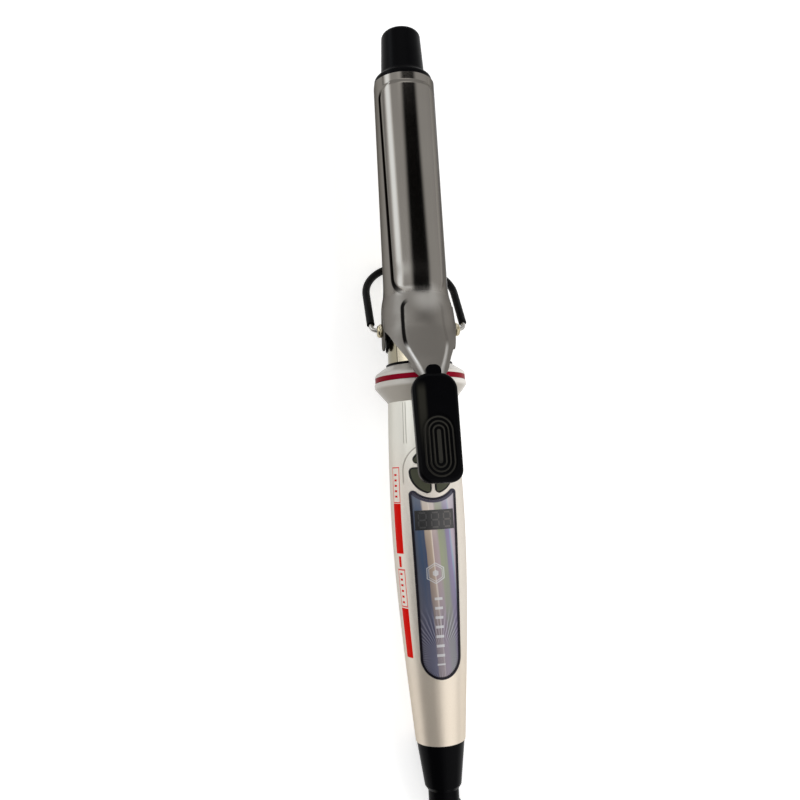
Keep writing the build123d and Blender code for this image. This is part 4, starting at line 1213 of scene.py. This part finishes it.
# ---------------------------------------------------------------- operators
def settle(piece, name, finish):
    """Names a piece that was modelled in iron mm, moves it to its place and gives it one finish."""
    piece.name = name
    piece.data.transform(FROM_IRON)
    piece.data.update()
    smooth_shade(piece, 40)
    dress(piece, finish)


class IRON_OT_stage(bpy.types.Operator):
    """Set the floor, the soft light and the camera"""

    bl_idname = "iron.stage"
    bl_label = "Stage"

    def execute(self, context):
        sizes = context.scene.iron_studio
        add_floor(sizes.floor_glow)
        add_sky(sizes.sky_level)
        add_light("side_soft", (0.0, -640.0, 520.0), 0.7, 1.2, sizes.key_power)
        add_light("top_soft", (-60.0, 260.0, 900.0), 1.2, 1.2, sizes.fill_power)
        add_camera()
        context.scene.view_settings.view_transform = "Standard"
        return {"FINISHED"}


class IRON_OT_cord(bpy.types.Operator):
    """Lay the mains lead from the strain relief to its plug, folded into a tied hank"""

    bl_idname = "iron.cord"
    bl_label = "Mains lead"

    def execute(self, context):
        sizes = context.scene.iron_cord
        piece = lay_cord(sizes.diameter / 2)
        dress(piece, cord_jacket("lead_jacket"))
        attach(piece, "swivel")
        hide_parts("cord_lead", "cord_hank", "cord_tail")
        [c / 1000 for c in cord_route()[0]]
        return {"FINISHED"}


class IRON_OT_metal(bpy.types.Operator):
    """Finish the barrel, the clamp's metal, the wires and the hinge"""

    bl_idname = "iron.metal"
    bl_label = "Barrel and metal parts"

    def execute(self, context):
        colours = context.scene.iron_colours
        dress_slots(
            {
                "barrel": champagne_chrome(colours),
                "gunmetal": gunmetal(colours),
                "steel": bright_wire("drawn_steel", 176, 4),
                "rivet": bright_wire("nickelled_rivet", 200, 26),
                "bracket": satin_black("black_bracket", 10, 0.15, 0.42, 3.0),
                "rubber_sleeve": satin_black("silicone_sleeve", 8, 0.06, 0.4, 5.0),
            }
        )
        return {"FINISHED"}


class IRON_OT_handle(bpy.types.Operator):
    """Finish the handle, its collar and trim ring, the black mouldings, the lever and the plug"""

    bl_idname = "iron.handle"
    bl_label = "Handle and black parts"

    def execute(self, context):
        colours = context.scene.iron_colours
        dress_slots(
            {
                "pearl": pearl_paint(colours),
                "white_collar": white_gloss(colours),
                "crimson": crimson_trim(colours),
                "black_plastic": satin_black("satin_black", 5, 0.03, 0.3, 4.0),
                "cord": cord_jacket("cord_jacket"),
            }
        )
        dress(nodes["thumb_lever"], lever_plastic())
        return {"FINISHED"}


class IRON_OT_controls(bpy.types.Operator):
    """Finish the panel with its film and display, and the push buttons"""

    bl_idname = "iron.controls"
    bl_label = "Panel and buttons"

    def execute(self, context):
        finishes = {"bezel": dark_bezel(), "film": rainbow_film(), "display": display_glass()}
        finishes["button"] = button_plastic(context.scene.iron_colours)
        dress_slots(finishes)
        return {"FINISHED"}


class IRON_OT_inside(bpy.types.Operator):
    """Finish the heater, the board and the other parts inside"""

    bl_idname = "iron.inside"
    bl_label = "Parts inside"

    def execute(self, context):
        finishes = {"brass": bright_wire("turned_brass", 214, 92)}
        for slot, name, low, high, metallic, rough, scale, depth in INSIDE_FINISHES:
            finishes[slot] = cast_surface(name, low, high, metallic, rough, scale, depth)
        dress_slots(finishes)
        return {"FINISHED"}


class IRON_OT_clamp(bpy.types.Operator):
    """Press the clamp plate: spoon with a raised panel, flare, beaded neck, tang and ears"""

    bl_idname = "iron.clamp"
    bl_label = "Clamp plate"

    def execute(self, context):
        sizes = context.scene.iron_clamp
        piece = join_pieces(shape_clamp_plate(sizes), shape_ear(1, sizes), shape_ear(-1, sizes))
        settle(piece, "clamp_shell", gunmetal(context.scene.iron_colours))
        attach(piece, "clamp")
        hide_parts("clamp_plate")
        return {"FINISHED"}


class IRON_OT_rivets(bpy.types.Operator):
    """Set the domed rivet heads on both sides of the hinge"""

    bl_idname = "iron.rivets"
    bl_label = "Rivet heads"

    def execute(self, context):
        sizes = context.scene.iron_clamp
        piece = join_pieces(shape_rivet(1, sizes), shape_rivet(-1, sizes))
        settle(piece, "rivet_heads", bright_wire("nickelled_dome", 176, 32))
        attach(piece, "iron")
        return {"FINISHED"}


class IRON_OT_spring(bpy.types.Operator):
    """Set the leaf spring between the clamp's neck and the barrel"""

    bl_idname = "iron.spring"
    bl_label = "Clamp spring"

    def execute(self, context):
        piece = shape_spring(context.scene.iron_clamp.spring_width)
        settle(piece, "spring_leaf", bright_wire("spring_steel", 168, 4))
        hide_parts("clamp_spring")
        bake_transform(piece)
        return {"FINISHED"}


class IRON_PT_panel(bpy.types.Panel):
    """The iron's sizes, colours and pieces in the sidebar"""

    bl_idname = "IRON_PT_panel"
    bl_label = "Curling iron"
    bl_space_type = "VIEW_3D"
    bl_region_type = "UI"
    bl_category = "Curling iron"

    def draw(self, context):
        for name, group in GROUPS.items():
            box = self.layout.box()
            for setting in group.__annotations__:
                box.prop(getattr(context.scene, name), setting)
        for operator in OPERATORS:
            self.layout.operator(operator.bl_idname)


GROUPS = {
    "iron_studio": StudioSizes,
    "iron_cord": CordSizes,
    "iron_clamp": ClampSizes,
    "iron_colours": IronColours,
}
OPERATORS = (
    IRON_OT_stage,
    IRON_OT_cord,
    IRON_OT_metal,
    IRON_OT_handle,
    IRON_OT_controls,
    IRON_OT_inside,
    IRON_OT_clamp,
    IRON_OT_rivets,
    IRON_OT_spring,
)


def register():
    """Adds the settings, the operators and the panel."""
    for name, group in GROUPS.items():
        bpy.utils.register_class(group)
        setattr(bpy.types.Scene, name, bpy.props.PointerProperty(type=group))
    for piece in (*OPERATORS, IRON_PT_panel):
        bpy.utils.register_class(piece)


def unregister():
    """Takes them away again."""
    for piece in (IRON_PT_panel, *reversed(OPERATORS)):
        bpy.utils.unregister_class(piece)
    for name, group in GROUPS.items():
        delattr(bpy.types.Scene, name)
        bpy.utils.unregister_class(group)


def main():
    """Builds the whole scene."""
    register()
    bpy.ops.iron.stage()
    bpy.ops.iron.cord()
    bpy.ops.iron.metal()
    bpy.ops.iron.handle()
    bpy.ops.iron.controls()
    bpy.ops.iron.inside()
    bpy.ops.iron.clamp()
    bpy.ops.iron.rivets()
    bpy.ops.iron.spring()


if __name__ == "__main__":
    main()
